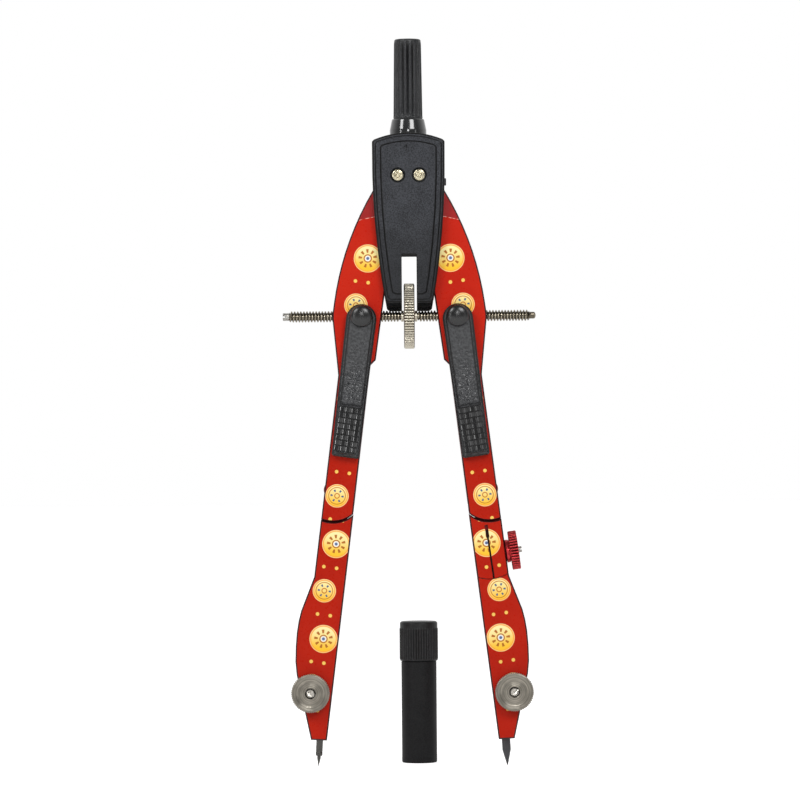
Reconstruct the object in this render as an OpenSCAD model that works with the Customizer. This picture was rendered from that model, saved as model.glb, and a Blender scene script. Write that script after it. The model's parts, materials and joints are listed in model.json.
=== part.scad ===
// Quick-setting bow compass with articulated legs, and its spare-lead case.
// Frame: +Z up, +X to the right, +Y away from the levers. The two points stand on z = 0,
// and the legs open to both sides of x = 0 in the plane y = 0.

/* [Stance] */
// Distance from a leg's pivot to its point
leg_length = 139.7; // [135:0.1:150]
// Angle of each leg from upright as the compass stands
open_angle = 8.08; // [6:0.01:12]
// How far each leg opens past that stance
swing_open = 28; // [20:1:28]
// Distance between the two leg pivots
pivot_gap = 5.06; // [5:0.01:5.3]

/* [Head] */
// Width of the head across its straight upper sides
head_width = 17; // [16.6:0.1:19]
// Width of the head at its foot
foot_width = 11.1; // [10.6:0.1:12.4]
// Clearance between a leg and the cover on each side of it
leg_play = 0.2; // [0.15:0.05:0.4]
// Thickness of each cover
cover_depth = 2.1; // [1.9:0.05:2.5]
// Top of the head above the pivots
head_rise = 9.95; // [9.6:0.05:11]
// Foot of the head below the pivots
head_drop = 29.8; // [27:0.1:30]
// Reach of the rear cover's foot beyond the front one's
rear_reach = 1.9; // [0:0.1:1.9]

/* [Handle] */
// Diameter of the fluted grip at its foot
grip_diameter = 6.9; // [6.4:0.1:8]
// Height of the fluted grip
grip_height = 18.7; // [15:0.1:24]
// Number of flutes round the grip
flute_count = 16; // [12:1:20]

/* [Legs] */
// Thickness of the legs
leg_thickness = 5.6; // [5.4:0.05:5.7]
// Widest reach of the upper leg outside the line from pivot to point
leaf_reach = 10.8; // [10.2:0.1:11.4]
// Reach of the shank outside that line, just under the leaf
shank_reach = 7.6; // [7.3:0.1:8]
// Knee pin below the pivot
knee_drop = 75; // [73:0.1:77]
// Teeth that a full turn of the leg's head would carry
gear_teeth = 12; // [12:1:12]

/* [Spindle] */
// Trunnion below the pivot, along the leg
trunnion_drop = 33.8; // [33:0.1:34.4]
// Trunnion outside the line from pivot to point
trunnion_reach = 4; // [3.8:0.1:4.4]
// Diameter of the threaded spindle
spindle_diameter = 2.6; // [2.2:0.1:2.6]
// Length of the spindle
spindle_length = 59.3; // [58:0.1:66]
// Diameter of the centre wheel
wheel_diameter = 15.3; // [14:0.1:15.6]
// Width of the centre wheel
wheel_width = 2.5; // [2:0.05:2.5]

/* [Levers] */
// Width of a lever at its head
lever_width = 7.1; // [6.8:0.1:7.4]
// Foot of a lever below the pivot, along the leg
lever_drop = 67; // [62:0.1:69]
// Columns of studs on a lever's pad
stud_columns = 4; // [3:1:5]
// Rows of studs on a lever's pad
stud_rows = 8; // [6:1:8]

/* [Points] */
// Diameter of the needle's shank
needle_diameter = 1.6; // [1.2:0.1:1.8]
// Diameter of the lead
lead_diameter = 2; // [2:0.1:2]
// Diameter of the clamp wheels
clamp_diameter = 9.1; // [8:0.1:9.6]

/* [Lead case] */
// Diameter of the case's tube
case_diameter = 8.3; // [8.2:0.1:9.6]
// Height of the closed case
case_height = 33.4; // [31:0.1:38]
// Distance of the case behind the legs
case_back = 11; // [10.5:0.5:20]

/* [Hidden] */

lacquer = [0.78, 0.11, 0.07];
black_plastic = [0.1, 0.1, 0.11];
steel = [0.66, 0.65, 0.62];
brass = [0.83, 0.72, 0.45];
graphite = [0.16, 0.16, 0.18];

// Clearances on a radius: a running fit and a seat
running = 0.05;
seat = 0.02;
round_fn = 64;
cut = 1;
far = 60;

// Places of the mechanism
pivot_x = pivot_gap / 2;
pivot_z = leg_length * cos(open_angle);
trunnion_radius = norm([trunnion_drop, trunnion_reach]);
trunnion_angle = atan2(trunnion_reach, trunnion_drop);
spindle_z = pivot_z - trunnion_radius * cos(trunnion_angle + open_angle);
highest_spindle_z = pivot_z - trunnion_radius * cos(trunnion_angle + open_angle + swing_open);
// The nuts' travel isn't quite even over the swing, so the wheel rests a little off centre
spindle_shift = -0.07;

half_leg = leg_thickness / 2;
half_gap = half_leg + leg_play;
cover_face = half_gap + cover_depth;
panel_step = 0.5;
screw_radius = 1;
screw_head_radius = 1.4;
screw_well_radius = 1.7;
screw_head_top = cover_face - 0.15;
screw_seat = cover_face - 0.85;
nut_sleeve_radius = 1.35;
nut_head_radius = screw_well_radius - 0.1;

head_radius = 4.4;
tooth_module = pivot_gap / gear_teeth;
root_radius = pivot_x - 1.15 * tooth_module;
tip_radius = pivot_x + 0.8 * tooth_module;
tooth_pitch = 360 / gear_teeth;

leg_bevel = 0.3;
leaf_arc = 70;
leaf_wide_z = -31.5;
leaf_corner_z = -34.8;
leaf_foot_z = -46.6;
leaf_inner = -0.65;
inner_step_z = -43.5;
shank_inner = 0.42;
shank_inner_z = -44.9;
point_inner = -1.15;
foot_lean = 5;
foot_inner_z = 6.4 - leg_length;
foot_outer = 2.55;
shank_taper = 0.0154;
inner_taper = (shank_inner - point_inner) / (shank_inner_z - foot_inner_z);

knee = [5.2, -knee_drop];
knee_radius = 7.4;
knee_pin_radius = 0.8;
tongue_half = 0.9;
fork_half = tongue_half + 0.1;
tongue_radius = 2.2;

trunnion = [trunnion_reach, -trunnion_drop];
barrel_radius = 2.3;
barrel_head_back = half_leg + 0.7;
spigot_radius = 1.75;
half_nut_radius = 1.2;
spindle_bore = spindle_diameter / 2 + running + 0.01;
window_half = spindle_diameter / 2 + 0.2;
window_margin = 0.3;
most_open = open_angle + swing_open;
neck_radius = 0.75;
collar_radius = 1.3;
collar_length = 0.6;
lever_back = half_leg + 0.15;
lever_front = lever_back + 2.25;
lever_rim = lever_front - 0.6;
spring_wire = 0.15;
spring_radius = 2.15;
spring_turns = 2;
spring_steps = 18;
spring_pitch = 0.4;
spring_pocket = 2.45;
spring_tail = [0.1, -2.85];

pad_top_z = 12.1 - lever_drop;
stud_pitch = 1.24;
stud_foot = 1.02;
stud_top = 0.5;
stud_height = 0.62;

socket_end = 95.2;
socket_arc = 8;
socket_axis = 3.3;
tenon_half_width = 1.5;
tenon_half_depth = 1.7;
tenon_top = 84.3;
slit_width = 0.36;
notch_width = 0.7;
notch_depth = 0.9;
notch_top = 83.3;
notch_foot = 86.2;
knob_drop = 90.1;
knob_radius = 4.55;
knob_width = 2;
knob_hub_radius = 2.7;
knob_hub = 8;
stud_radius = 0.7;

needle_shoulder = 2.6;
needle_length = 17;
lead_length = 14;
lead_cone = 3.6;
clamp_axis = [4.1, 16.9 - leg_length];
clamp_screw = 1.2;
clamp_wheel_width = 2;
clamp_slit = 0.25;
clamp_slit_top = 26 - leg_length;

collar_height = 3.35;
collar_foot_radius = 4.3;
collar_top_radius = 3.75;
arch_radius = 21.1;
stem_radius = 1.6;
stem_foot = pivot_z + head_rise - 4;
stem_top = stem_foot + 12.5;
flange_radius = 2.6;

case_x = 1.6;
case_wall = 0.7;
cap_z = 24.1;
cap_height = case_height - cap_z;
cap_radius = case_diameter / 2 + 0.4;
cap_top_band = 1.4;
case_neck = case_diameter / 2 - 0.35;
case_mouth = case_height - 3.6;

// Plane geometry, with outlines running counter-clockwise

function arc(centre, r, a0, a1, steps) =
    [for (i = [0:steps]) let(a = a0 + (a1 - a0) * i / steps) centre + r * [cos(a), sin(a)]];

function unit(v) = v / norm(v);

function left_of(v) = [-v.y, v.x];

// The outline moved inward by t
function inset(pts, t) = let(n = len(pts)) [
    for (i = [0:n - 1])
        let(
            before = left_of(unit(pts[i] - pts[(i + n - 1) % n])),
            after = left_of(unit(pts[(i + 1) % n] - pts[i])),
            mid = unit(before + after)
        ) pts[i] + mid * t / (mid * before)
];

// Twice the area of the triangle a, b, c, positive when it runs counter-clockwise
function turn(a, b, c) = (b.x - a.x) * (c.y - a.y) - (b.y - a.y) * (c.x - a.x);

function is_ear(pts, loop, k) = let(
    n = len(loop),
    a = pts[loop[(k + n - 1) % n]],
    b = pts[loop[k]],
    c = pts[loop[(k + 1) % n]]
) turn(a, b, c) > 0.000001 && len([
    for (i = loop) let(p = pts[i])
        if (p != a && p != b && p != c && turn(a, b, p) >= 0 && turn(b, c, p) >= 0 && turn(c, a, p) >= 0) i
]) == 0;

function first_ear(pts, loop, k) = k >= len(loop) - 1 || is_ear(pts, loop, k) ? k : first_ear(pts, loop, k + 1);

// Triangles that fill an outline, cut off one ear at a time
function triangles(pts, loop) = len(loop) == 3 ? [loop] : let(
    n = len(loop),
    k = first_ear(pts, loop, 0)
) concat(
    [[loop[(k + n - 1) % n], loop[k], loop[(k + 1) % n]]],
    triangles(pts, [for (i = [0:n - 1]) if (i != k) loop[i]])
);

// A round wheel outline with pointed or flat-topped knurls
function knurled(r, depth, count) = [
    for (i = [0:count - 1]) each [
        r * [cos(360 * i / count), sin(360 * i / count)],
        (r - depth) * [cos(360 * (i + 0.5) / count), sin(360 * (i + 0.5) / count)]
    ]
];

// Solids from outlines

// Outline in X and Z, solid between two depths in Y
module plate(pts, y0, y1) {
    translate([0, y1, 0])
        rotate([90, 0, 0])
            linear_extrude(y1 - y0)
                polygon(pts);
}

// The same with its front and rear edges bevelled
module bevelled_plate(pts, y0, y1, front, rear) {
    n = len(pts);
    front_pts = inset(pts, max(front, 0.001));
    rear_pts = inset(pts, max(rear, 0.001));
    polyhedron(
        points = concat(
            [for (p = front_pts) [p.x, y0, p.y]],
            [for (p = pts) [p.x, y0 + max(front, 0.001), p.y]],
            [for (p = pts) [p.x, y1 - max(rear, 0.001), p.y]],
            [for (p = rear_pts) [p.x, y1, p.y]]
        ),
        faces = concat(
            [for (f = triangles(front_pts, [for (i = [0:n - 1]) i])) [f[2], f[1], f[0]]],
            [for (k = [0:2], i = [0:n - 1])
                [k * n + i, k * n + (i + 1) % n, (k + 1) * n + (i + 1) % n, (k + 1) * n + i]],
            [for (f = triangles(rear_pts, [for (i = [0:n - 1]) i])) 3 * n * [1, 1, 1] + f]
        )
    );
}

// Cylinder along Y at a place in X and Z
module pin_y(at, r, y0, y1, r2 = undef) {
    translate([at.x, y0, at.y])
        rotate([-90, 0, 0])
            cylinder(h = y1 - y0, r1 = r, r2 = is_undef(r2) ? r : r2, $fn = round_fn);
}

// Cylinder along X at a height
module pin_x(r, x0, x1, z) {
    translate([x0, 0, z])
        rotate([0, 90, 0])
            cylinder(h = x1 - x0, r = r, $fn = round_fn);
}

// Profile of radius and height, turned round Y with its height toward -Y
module turned_y(at, pts) {
    translate([at.x, 0, at.y])
        rotate([90, 0, 0])
            rotate_extrude($fn = round_fn)
                polygon(pts);
}

// Directions across a path, each carried on from the one before
function carried(tangents, across, i = 1) = i >= len(tangents) ? across : let(
    last = across[i - 1],
    next = unit(last - (last * tangents[i]) * tangents[i])
) carried(tangents, concat(across, [next]), i + 1);

// Round wire along a path of points
module wire(path, r) {
    n = len(path);
    sides = 8;
    tangents = [for (i = [0:n - 1]) unit(path[min(i + 1, n - 1)] - path[max(i - 1, 0)])];
    across = carried(tangents, [unit(cross(tangents[0], [1, 0.3, 0.2]))]);
    polyhedron(
        points = [for (i = [0:n - 1], k = [0:sides - 1])
            path[i] + r * (cos(360 * k / sides) * across[i]
                + sin(360 * k / sides) * cross(tangents[i], across[i]))],
        faces = concat(
            [[for (k = [0:sides - 1]) k]],
            [for (i = [0:n - 2], k = [0:sides - 1]) let(here = i * sides, next_k = (k + 1) % sides)
                [here + sides + k, here + sides + next_k, here + next_k, here + k]],
            [[for (k = [sides - 1:-1:0]) (n - 1) * sides + k]]
        )
    );
}

// Box with its corners given
module block(low, high) {
    translate(low)
        cube(high - low);
}

// Places a leg's own frame, with +X outward and the pivot at its origin; side is 1 or -1
module on_leg(side) {
    translate([side * pivot_x, 0, pivot_z])
        rotate([0, -side * open_angle, 0])
            if (side > 0) children();
            else mirror([1, 0, 0]) children();
}

// Places the frame of a nut barrel, which stays level as the leg swings
module on_trunnion(side) {
    translate([side * (pivot_x + trunnion_radius * sin(trunnion_angle + open_angle)), 0, spindle_z])
        if (side > 0) children();
        else mirror([1, 0, 0]) children();
}

// Places the frame of a point: +Z up its shank, with the tip at the origin
module on_point(side) {
    on_leg(side)
        translate([0, 0, -leg_length])
            rotate([0, foot_lean, 0])
                children();
}

// Head

side_straight_z = 3.7;
side_arc = (pow(side_straight_z + head_drop, 2) + pow((head_width - foot_width) / 2, 2))
    / (head_width - foot_width);
function side_x(z) = head_width / 2 - side_arc + sqrt(side_arc * side_arc - pow(side_straight_z - z, 2));
arch_centre = [0, head_rise - arch_radius];
head_corner = 0.5;

// Outline of the head, moved inward by t; its foot is drop below the pivots
function head_outline(t, drop) = let(
    half = head_width / 2 - t,
    foot = t - drop,
    foot_half = side_x(-drop) - t,
    arch = arch_radius - t,
    arch_half = asin((half - head_corner) / arch),
    shoulder = arch_centre.y + arch * cos(arch_half) - head_corner,
    right = [for (i = [0:8]) let(z = foot + head_corner + (side_straight_z - foot - head_corner) * i / 8)
        [side_x(z) - t, z]]
) concat(
    [[head_corner - foot_half, foot], [foot_half - head_corner, foot]],
    right,
    [[half, shoulder]],
    arc(arch_centre, arch, 90 - arch_half, 90 + arch_half, 12),
    [[-half, shoulder]],
    [for (i = [8:-1:0]) [-right[i].x, right[i].y]]
);

side_wall = 1;
wall_foot = 1.6;
top_block_foot = 5.2;
slot_half = 1.75;

// Front cover without its holes; the rear one is its mirror image with a lower foot
module cover_shell(drop) {
    translate([0, 0, pivot_z]) {
        bevelled_plate(head_outline(0, drop), -cover_face + panel_step, -half_gap, 0.35, 0.001);
        bevelled_plate(head_outline(0.75, drop), -cover_face + panel_step / 2, -half_gap - 0.5, 0.15, 0.001);
        bevelled_plate(head_outline(1.95, drop), -cover_face, -half_gap - 0.5, 0.2, 0.001);
        difference() {
            plate(head_outline(0, drop), -half_gap - 0.1, -0.02);
            difference() {
                plate(head_outline(side_wall, drop), -half_gap - cut, cut);
                block([-far, -far, top_block_foot], [far, far, far]);
            }
            block([-far, -far, -far], [far, far, wall_foot]);
        }
    }
}

module wheel_slot(clearance) {
    block([-slot_half, -far, pivot_z - far], [slot_half, -0.01, highest_spindle_z]);
    intersection() {
        pin_x(wheel_diameter / 2 + clearance, -slot_half, slot_half, highest_spindle_z);
        block([-far, -far, 0], [far, -0.01, 2 * leg_length]);
    }
}

// Pocket for the handle's stem and its flange
module stem_room() {
    translate([0, 0, stem_foot]) {
        cylinder(h = 10, r = stem_radius + seat, $fn = round_fn);
        cylinder(h = 1 + 2 * seat, r = flange_radius + seat, $fn = round_fn);
    }
}

module front_cover() {
    color(black_plastic) {
        difference() {
            cover_shell(head_drop);
            wheel_slot(0.6);
            stem_room();
            for (side = [-1, 1]) {
                pin_y([side * pivot_x, pivot_z], screw_radius + seat, -cover_face - cut, -half_gap + cut);
                pin_y([side * pivot_x, pivot_z], screw_well_radius, -cover_face - cut, -screw_seat);
            }
        }
        // Moulding pip under the arch
        pin_y([-0.55, pivot_z + 6.75], 0.25, -cover_face - 0.06, -cover_face + 0.1);
    }
}

module rear_cover() {
    color(black_plastic) {
        difference() {
            mirror([0, 1, 0]) cover_shell(head_drop + rear_reach);
            mirror([0, 1, 0]) wheel_slot(0.25);
            // Relief for the heads of the barrels when the legs are closed
            block([-far, 0, 0], [far, barrel_head_back + 0.2, pivot_z - head_drop - rear_reach + 1.2]);
            stem_room();
            for (side = [-1, 1]) {
                pin_y([side * pivot_x, pivot_z], nut_sleeve_radius + seat, half_gap - cut, cover_face + cut);
                pin_y([side * pivot_x, pivot_z], screw_well_radius, screw_seat, cover_face + cut);
            }
        }
        // Catch of the snap joint at the right-hand side
        block([head_width / 2 - 0.3, half_gap, pivot_z - 2.2],
            [head_width / 2 + 0.35, half_gap + 1, pivot_z - 0.5]);
    }
}

module handle_stem() {
    color(steel) {
        translate([0, 0, stem_foot])
            cylinder(h = stem_top - stem_foot, r = stem_radius, $fn = round_fn);
        translate([0, 0, stem_foot + seat])
            cylinder(h = 1, r = flange_radius, $fn = round_fn);
    }
}

module handle_collar() {
    color(black_plastic)
        difference() {
            translate([0, 0, pivot_z + head_rise - 0.6])
                rotate_extrude($fn = round_fn)
                    polygon([
                        [stem_radius + seat, 0], [collar_foot_radius, 0], [collar_foot_radius, 0.9],
                        [collar_top_radius + 0.08, collar_height + 0.35],
                        [collar_top_radius - 0.2, collar_height + 0.6],
                        [stem_radius + seat, collar_height + 0.6]
                    ]);
            pin_y([0, pivot_z + arch_centre.y], arch_radius + 0.01, -far, far);
        }
}

module handle_grip() {
    foot = pivot_z + head_rise + collar_height + 0.02;
    foot_radius = grip_diameter / 2;
    top_radius = foot_radius - 0.25;
    lean = atan2(foot_radius - top_radius, grip_height);
    color(black_plastic)
        difference() {
            translate([0, 0, foot])
                rotate_extrude($fn = round_fn)
                    polygon(concat(
                        [[0, 0], [foot_radius - 0.25, 0], [foot_radius, 0.25]],
                        arc([top_radius - 0.7, grip_height - 0.7], 0.7, 0, 90, 6),
                        [[0, grip_height]]
                    ));
            for (i = [0:flute_count - 1])
                rotate([0, 0, 360 * (i + 0.5) / flute_count])
                    translate([foot_radius + 0.14, 0, foot + 0.5])
                        rotate([0, -lean, 0])
                            cylinder(h = far, r = 0.42, $fn = 24);
            translate([0, 0, foot - cut])
                cylinder(h = stem_top - foot + cut + seat, r = stem_radius + seat, $fn = round_fn);
        }
}

module pivot_screws() {
    color(brass)
        for (side = [-1, 1])
            difference() {
                union() {
                    pin_y([side * pivot_x, pivot_z], screw_radius, -screw_seat - 0.1, screw_seat - 0.1);
                    pin_y([side * pivot_x, pivot_z], screw_head_radius, -screw_head_top, -screw_seat - 0.01);
                }
                // Cross recess
                translate([side * pivot_x, -screw_head_top, pivot_z])
                    for (turn = [20, 110])
                        rotate([0, turn, 0])
                            cube([1.7, 0.8, 0.36], center = true);
            }
}

module pivot_nuts() {
    color(brass)
        for (side = [-1, 1])
            difference() {
                union() {
                    pin_y([side * pivot_x, pivot_z], nut_sleeve_radius, half_gap + 0.05, screw_seat + 0.1);
                    pin_y([side * pivot_x, pivot_z], nut_head_radius, screw_seat + 0.01, screw_head_top);
                }
                pin_y([side * pivot_x, pivot_z], screw_radius + seat, half_gap - cut, screw_seat + 0.1);
            }
}

// Legs, drawn in the leg's own frame

function inner_x(z) = shank_inner - inner_taper * (shank_inner_z - z);
function shank_x(z) = shank_reach - shank_taper * (leaf_foot_z - z);
function leaf_x(z) = leaf_reach - leaf_arc + sqrt(leaf_arc * leaf_arc - pow(z - leaf_wide_z, 2));

knee_in = 180 + acos((knee.x - inner_x(knee.y - 5.2)) / knee_radius);
knee_out = 270 + asin((shank_x(knee.y - 7.2) - knee.x) / knee_radius);
leaf_top_z = -4.2;
tooth_contact = 180 - open_angle;

upper_leg_outline = concat(
    arc(knee, knee_radius, knee_in, knee_out, 10),
    [[shank_x(leaf_foot_z - 1.6), leaf_foot_z - 1.6], [shank_reach + 0.35, leaf_foot_z]],
    [[leaf_reach - 0.1, leaf_corner_z - 0.35], [leaf_reach, leaf_corner_z + 0.9]],
    [for (i = [0:9]) let(z = leaf_wide_z + (leaf_top_z - leaf_wide_z) * i / 9) [leaf_x(z), z]],
    arc([0, 0], head_radius, 12, 82, 8),
    arc([0, 0], root_radius, 100, 215, 8),
    [[-1.5, -3.2], [leaf_inner, -6.5], [leaf_inner, inner_step_z]],
    [[shank_inner, shank_inner_z]]
);

// Trapezoid teeth on the side of the head that meets the other leg
module leg_teeth(phase) {
    half_pitch = tooth_pitch / 2;
    root_half = 0.3 * tooth_pitch;
    tip_half = 0.1 * tooth_pitch;
    for (k = [-2:1]) {
        a = tooth_contact + (k + phase) * tooth_pitch;
        if (a < tooth_contact + 1.6 * tooth_pitch)
            plate([
                (root_radius - 0.2) * [cos(a - half_pitch), sin(a - half_pitch)],
                root_radius * [cos(a - root_half), sin(a - root_half)],
                tip_radius * [cos(a - tip_half), sin(a - tip_half)],
                tip_radius * [cos(a + tip_half), sin(a + tip_half)],
                root_radius * [cos(a + root_half), sin(a + root_half)],
                (root_radius - 0.2) * [cos(a + half_pitch), sin(a + half_pitch)]
            ], -half_leg + leg_bevel, half_leg - leg_bevel);
    }
}

// Room for the spindle from one end of the swing to the other
module spindle_window() {
    half = spindle_diameter / 2 + window_margin;
    down = -most_open;
    reach = 14;
    for (turn = [0, 180])
        translate([trunnion.x, 0, trunnion.y])
            rotate([0, turn, 0])
                plate([
                    [0, half], -half * left_of([cos(down), sin(down)]),
                    reach * [cos(down), sin(down)] - half * left_of([cos(down), sin(down)]),
                    [reach, half]
                ], -window_half, window_half);
}

module upper_leg(phase) {
    difference() {
        union() {
            bevelled_plate(upper_leg_outline, -half_leg, half_leg, leg_bevel, leg_bevel);
            leg_teeth(phase);
        }
        pin_y([0, 0], screw_radius + running, -half_leg - cut, half_leg + cut);
        pin_y(trunnion, barrel_radius + running, -half_leg - cut, half_leg + cut);
        spindle_window();
        // Fork for the tongue of the lower leg, and its pin
        block([-far, -fork_half, -far - leg_length], [far, fork_half, knee.y + tongue_radius + 0.3]);
        pin_y(knee, knee_pin_radius + seat, -half_leg + 0.7, half_leg + cut);
        // Hole for the tail of the lever's spring
        pin_y(trunnion + spring_tail, 0.35, -half_leg - cut, -half_leg + 1);
    }
}

module upper_leg_left() {
    color(lacquer) on_leg(-1) upper_leg(0.5);
}

module upper_leg_right() {
    color(lacquer) on_leg(1) upper_leg(0);
}

module knee_pin() {
    pin_y(knee, knee_pin_radius, -half_leg + 0.75, half_leg - 0.05);
}

module knee_pin_left() {
    color(steel) on_leg(-1) knee_pin();
}

module knee_pin_right() {
    color(steel) on_leg(1) knee_pin();
}

// Outer edge of the lower leg from its foot up to the foot of the shank
bulge_outline = [
    [foot_outer, foot_inner_z - (foot_outer - point_inner) * tan(foot_lean)],
    [7.9, 20.7 - leg_length], [8.6, 23.7 - leg_length], [9, 27.3 - leg_length],
    [9.18, 30.6 - leg_length], [9.12, 33.2 - leg_length], [8.85, 35.7 - leg_length],
    [7.3, 42.2 - leg_length], [shank_x(44.6 - leg_length) + 0.03, 44 - leg_length]
];
foot_corner = [point_inner, foot_inner_z];
shoulder_gap = 0.12;

// The whole lower leg, from its shoulder down to its foot
lower_outline = concat(
    [foot_corner],
    bulge_outline,
    arc(knee, knee_radius + shoulder_gap, knee_out, knee_in, 16)
);

// Tongue that the knee pin holds in the upper leg's fork
module tongue() {
    difference() {
        union() {
            pin_y(knee, tongue_radius, -tongue_half, tongue_half);
            plate([
                knee + tongue_radius * [-0.98, -0.2], [inner_x(knee.y - 8) + 0.6, knee.y - 8],
                [shank_x(knee.y - 8) - 0.3, knee.y - 8], knee + tongue_radius * [0.85, -0.5]
            ], -tongue_half, tongue_half);
        }
        pin_y(knee, knee_pin_radius + running, -far, far);
    }
}

// Clamp at a foot: the bore up the point's axis, the slit and the screw's hole
module foot_clamp(point_radius, bore_top) {
    translate([0, 0, -leg_length])
        rotate([0, foot_lean, 0])
            cylinder(h = bore_top, r = point_radius + running, $fn = round_fn);
    block([-far, -clamp_slit, -far - leg_length], [far, clamp_slit, clamp_slit_top]);
    pin_y(clamp_axis, clamp_screw + running, -far, far);
}

module lower_leg_left() {
    color(lacquer)
        on_leg(-1)
            difference() {
                union() {
                    bevelled_plate(lower_outline, -half_leg, half_leg, leg_bevel, leg_bevel);
                    tongue();
                }
                foot_clamp(needle_diameter / 2, needle_length + 2);
            }
}

// End of the socket, an arc that the insert's head follows
socket_centre = [socket_axis, 0.8 - socket_end + socket_arc - 1.5];

module lower_leg_right() {
    color(lacquer)
        on_leg(1)
            difference() {
                union() {
                    intersection() {
                        bevelled_plate(lower_outline, -half_leg, half_leg, leg_bevel, leg_bevel);
                        union() {
                            block([-far, -far, socket_centre.y - 3], [far, far, cut]);
                            pin_y(socket_centre, socket_arc, -far, far);
                        }
                    }
                    tongue();
                }
                // Socket for the tenon, open at the foot
                block([socket_axis - tenon_half_width - 0.1, -tenon_half_depth - 0.1, -far - leg_length],
                    [socket_axis + tenon_half_width + 0.1, tenon_half_depth + 0.1, 0.3 - tenon_top]);
                // Slit that lets the two jaws close, with a wider notch at its head
                block([socket_axis - slit_width / 2, -far, -far - leg_length],
                    [socket_axis + slit_width / 2, far, -tenon_top - 0.1]);
                block([socket_axis - notch_width / 2, -far, -notch_foot],
                    [socket_axis + notch_width / 2, notch_depth - half_leg, -notch_top]);
                // Hole for the stud
                translate([0, 0, -knob_drop])
                    rotate([0, 90, 0])
                        cylinder(h = far, r = stud_radius + running, $fn = round_fn);
            }
}

module pencil_insert() {
    color(lacquer)
        on_leg(1)
            difference() {
                bevelled_plate(lower_outline, -half_leg, half_leg, leg_bevel, leg_bevel);
                block([-far, -far, socket_centre.y - 3], [far, far, cut]);
                pin_y(socket_centre, socket_arc + 0.08, -far, far);
                foot_clamp(lead_diameter / 2, lead_length + 2);
                // Seat of the tenon
                block([socket_axis - tenon_half_width - seat, -tenon_half_depth - seat, -socket_end - 3.02],
                    [socket_axis + tenon_half_width + seat, tenon_half_depth + seat, 0]);
            }
}

module insert_tenon() {
    color(steel)
        on_leg(1)
            difference() {
                block([socket_axis - tenon_half_width, -tenon_half_depth, -socket_end - 3],
                    [socket_axis + tenon_half_width, tenon_half_depth, -tenon_top]);
                // Fork that straddles the stud
                block([-far, -stud_radius - 0.15, -knob_drop - stud_radius - 0.3],
                    [far, stud_radius + 0.15, cut]);
            }
}

module socket_stud() {
    color(steel)
        on_leg(1)
            difference() {
                translate([0.35, 0, -knob_drop])
                    rotate([0, 90, 0])
                        cylinder(h = knob_hub + knob_width + 0.8 - 0.35, r = stud_radius, $fn = round_fn);
                block([knob_hub + knob_width + 0.4, -far, -knob_drop - 0.12], [far, far, 0.12 - knob_drop]);
            }
}

module socket_knob() {
    hub_foot = shank_x(-knob_drop) + 0.12;
    color(lacquer)
        on_leg(1)
            translate([0, 0, -knob_drop])
                rotate([0, 90, 0])
                    difference() {
                        union() {
                            translate([0, 0, knob_hub])
                                linear_extrude(knob_width)
                                    polygon(knurled(knob_radius, 0.25, 40));
                            translate([0, 0, hub_foot])
                                cylinder(h = knob_hub + 0.12 - hub_foot, r = knob_hub_radius, $fn = round_fn);
                        }
                        cylinder(h = far, r = stud_radius + running, $fn = round_fn);
                    }
}

// Trunnions and levers

module nut_barrel() {
    difference() {
        union() {
            pin_y([0, 0], barrel_radius, -half_leg, half_leg + 0.3);
            pin_y([0, 0], spigot_radius, -lever_front, 0);
            pin_y([0, 0], barrel_radius + 0.6, half_leg + 0.1, barrel_head_back);
        }
        pin_x(spindle_bore, -far, far, 0);
        pin_y([0, 0], half_nut_radius + running, -far, 0);
    }
}

module nut_barrel_left() {
    color(brass) on_trunnion(-1) nut_barrel();
}

module nut_barrel_right() {
    color(brass) on_trunnion(1) nut_barrel();
}

module button_cap() {
    dome = 2.6;
    rise = 1.15;
    crown = (dome * dome + rise * rise) / (2 * rise);
    edge = asin(dome / crown);
    base = lever_front + 0.02;
    turned_y([0, 0], concat(
        [[0, base], [dome - 0.15, base], [dome, base + 0.15]],
        [for (i = [0:8]) let(a = edge * (1 - i / 8))
            [crown * sin(a), base + 0.25 + crown * cos(a) - crown * cos(edge)]]
    ));
}

module button_cap_left() {
    color(black_plastic) on_trunnion(-1) button_cap();
}

module button_cap_right() {
    color(black_plastic) on_trunnion(1) button_cap();
}

// Plunger whose hollow end carries half a nut and rests on the thread
module half_nut() {
    difference() {
        pin_y([0, 0], half_nut_radius, 0.6 - lever_front, -0.55);
        pin_x(spindle_bore, -far, far, 0);
    }
}

module half_nut_left() {
    color(brass) on_trunnion(-1) half_nut();
}

module half_nut_right() {
    color(brass) on_trunnion(1) half_nut();
}

lever_head = trunnion + [-0.05, -0.7];
lever_foot = [3.43, -lever_drop];
lever_foot_half = lever_width / 2 - 0.35;
lever_corner = 0.4;

// Outline of a lever, moved inward by t
function lever_outline(t) = let(foot_half = lever_foot_half - t) concat(
    [lever_foot + [lever_corner - foot_half, t], lever_foot + [foot_half - lever_corner, t]],
    [lever_foot + [foot_half, t + lever_corner]],
    arc(lever_head, lever_width / 2 - t, 0, 180, 18),
    [lever_foot + [-foot_half, t + lever_corner]]
);
pad_lean = atan2(lever_foot.x - lever_head.x, lever_drop + lever_head.y);
tray_depth = 0.5;

// Sloping-sided ribs in a row, as an outline of place and height above the tray
function ribs(count) = concat(
    [[-count * stud_pitch / 2, -0.2]],
    [[count * stud_pitch / 2, -0.2]],
    [for (i = [count - 1:-1:0], end = [1, -1]) each
        let(centre = (i - (count - 1) / 2) * stud_pitch) end > 0
            ? [[centre + stud_foot / 2, 0], [centre + stud_top / 2, stud_height]]
            : [[centre - stud_top / 2, stud_height], [centre - stud_foot / 2, 0]]]
);

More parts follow.
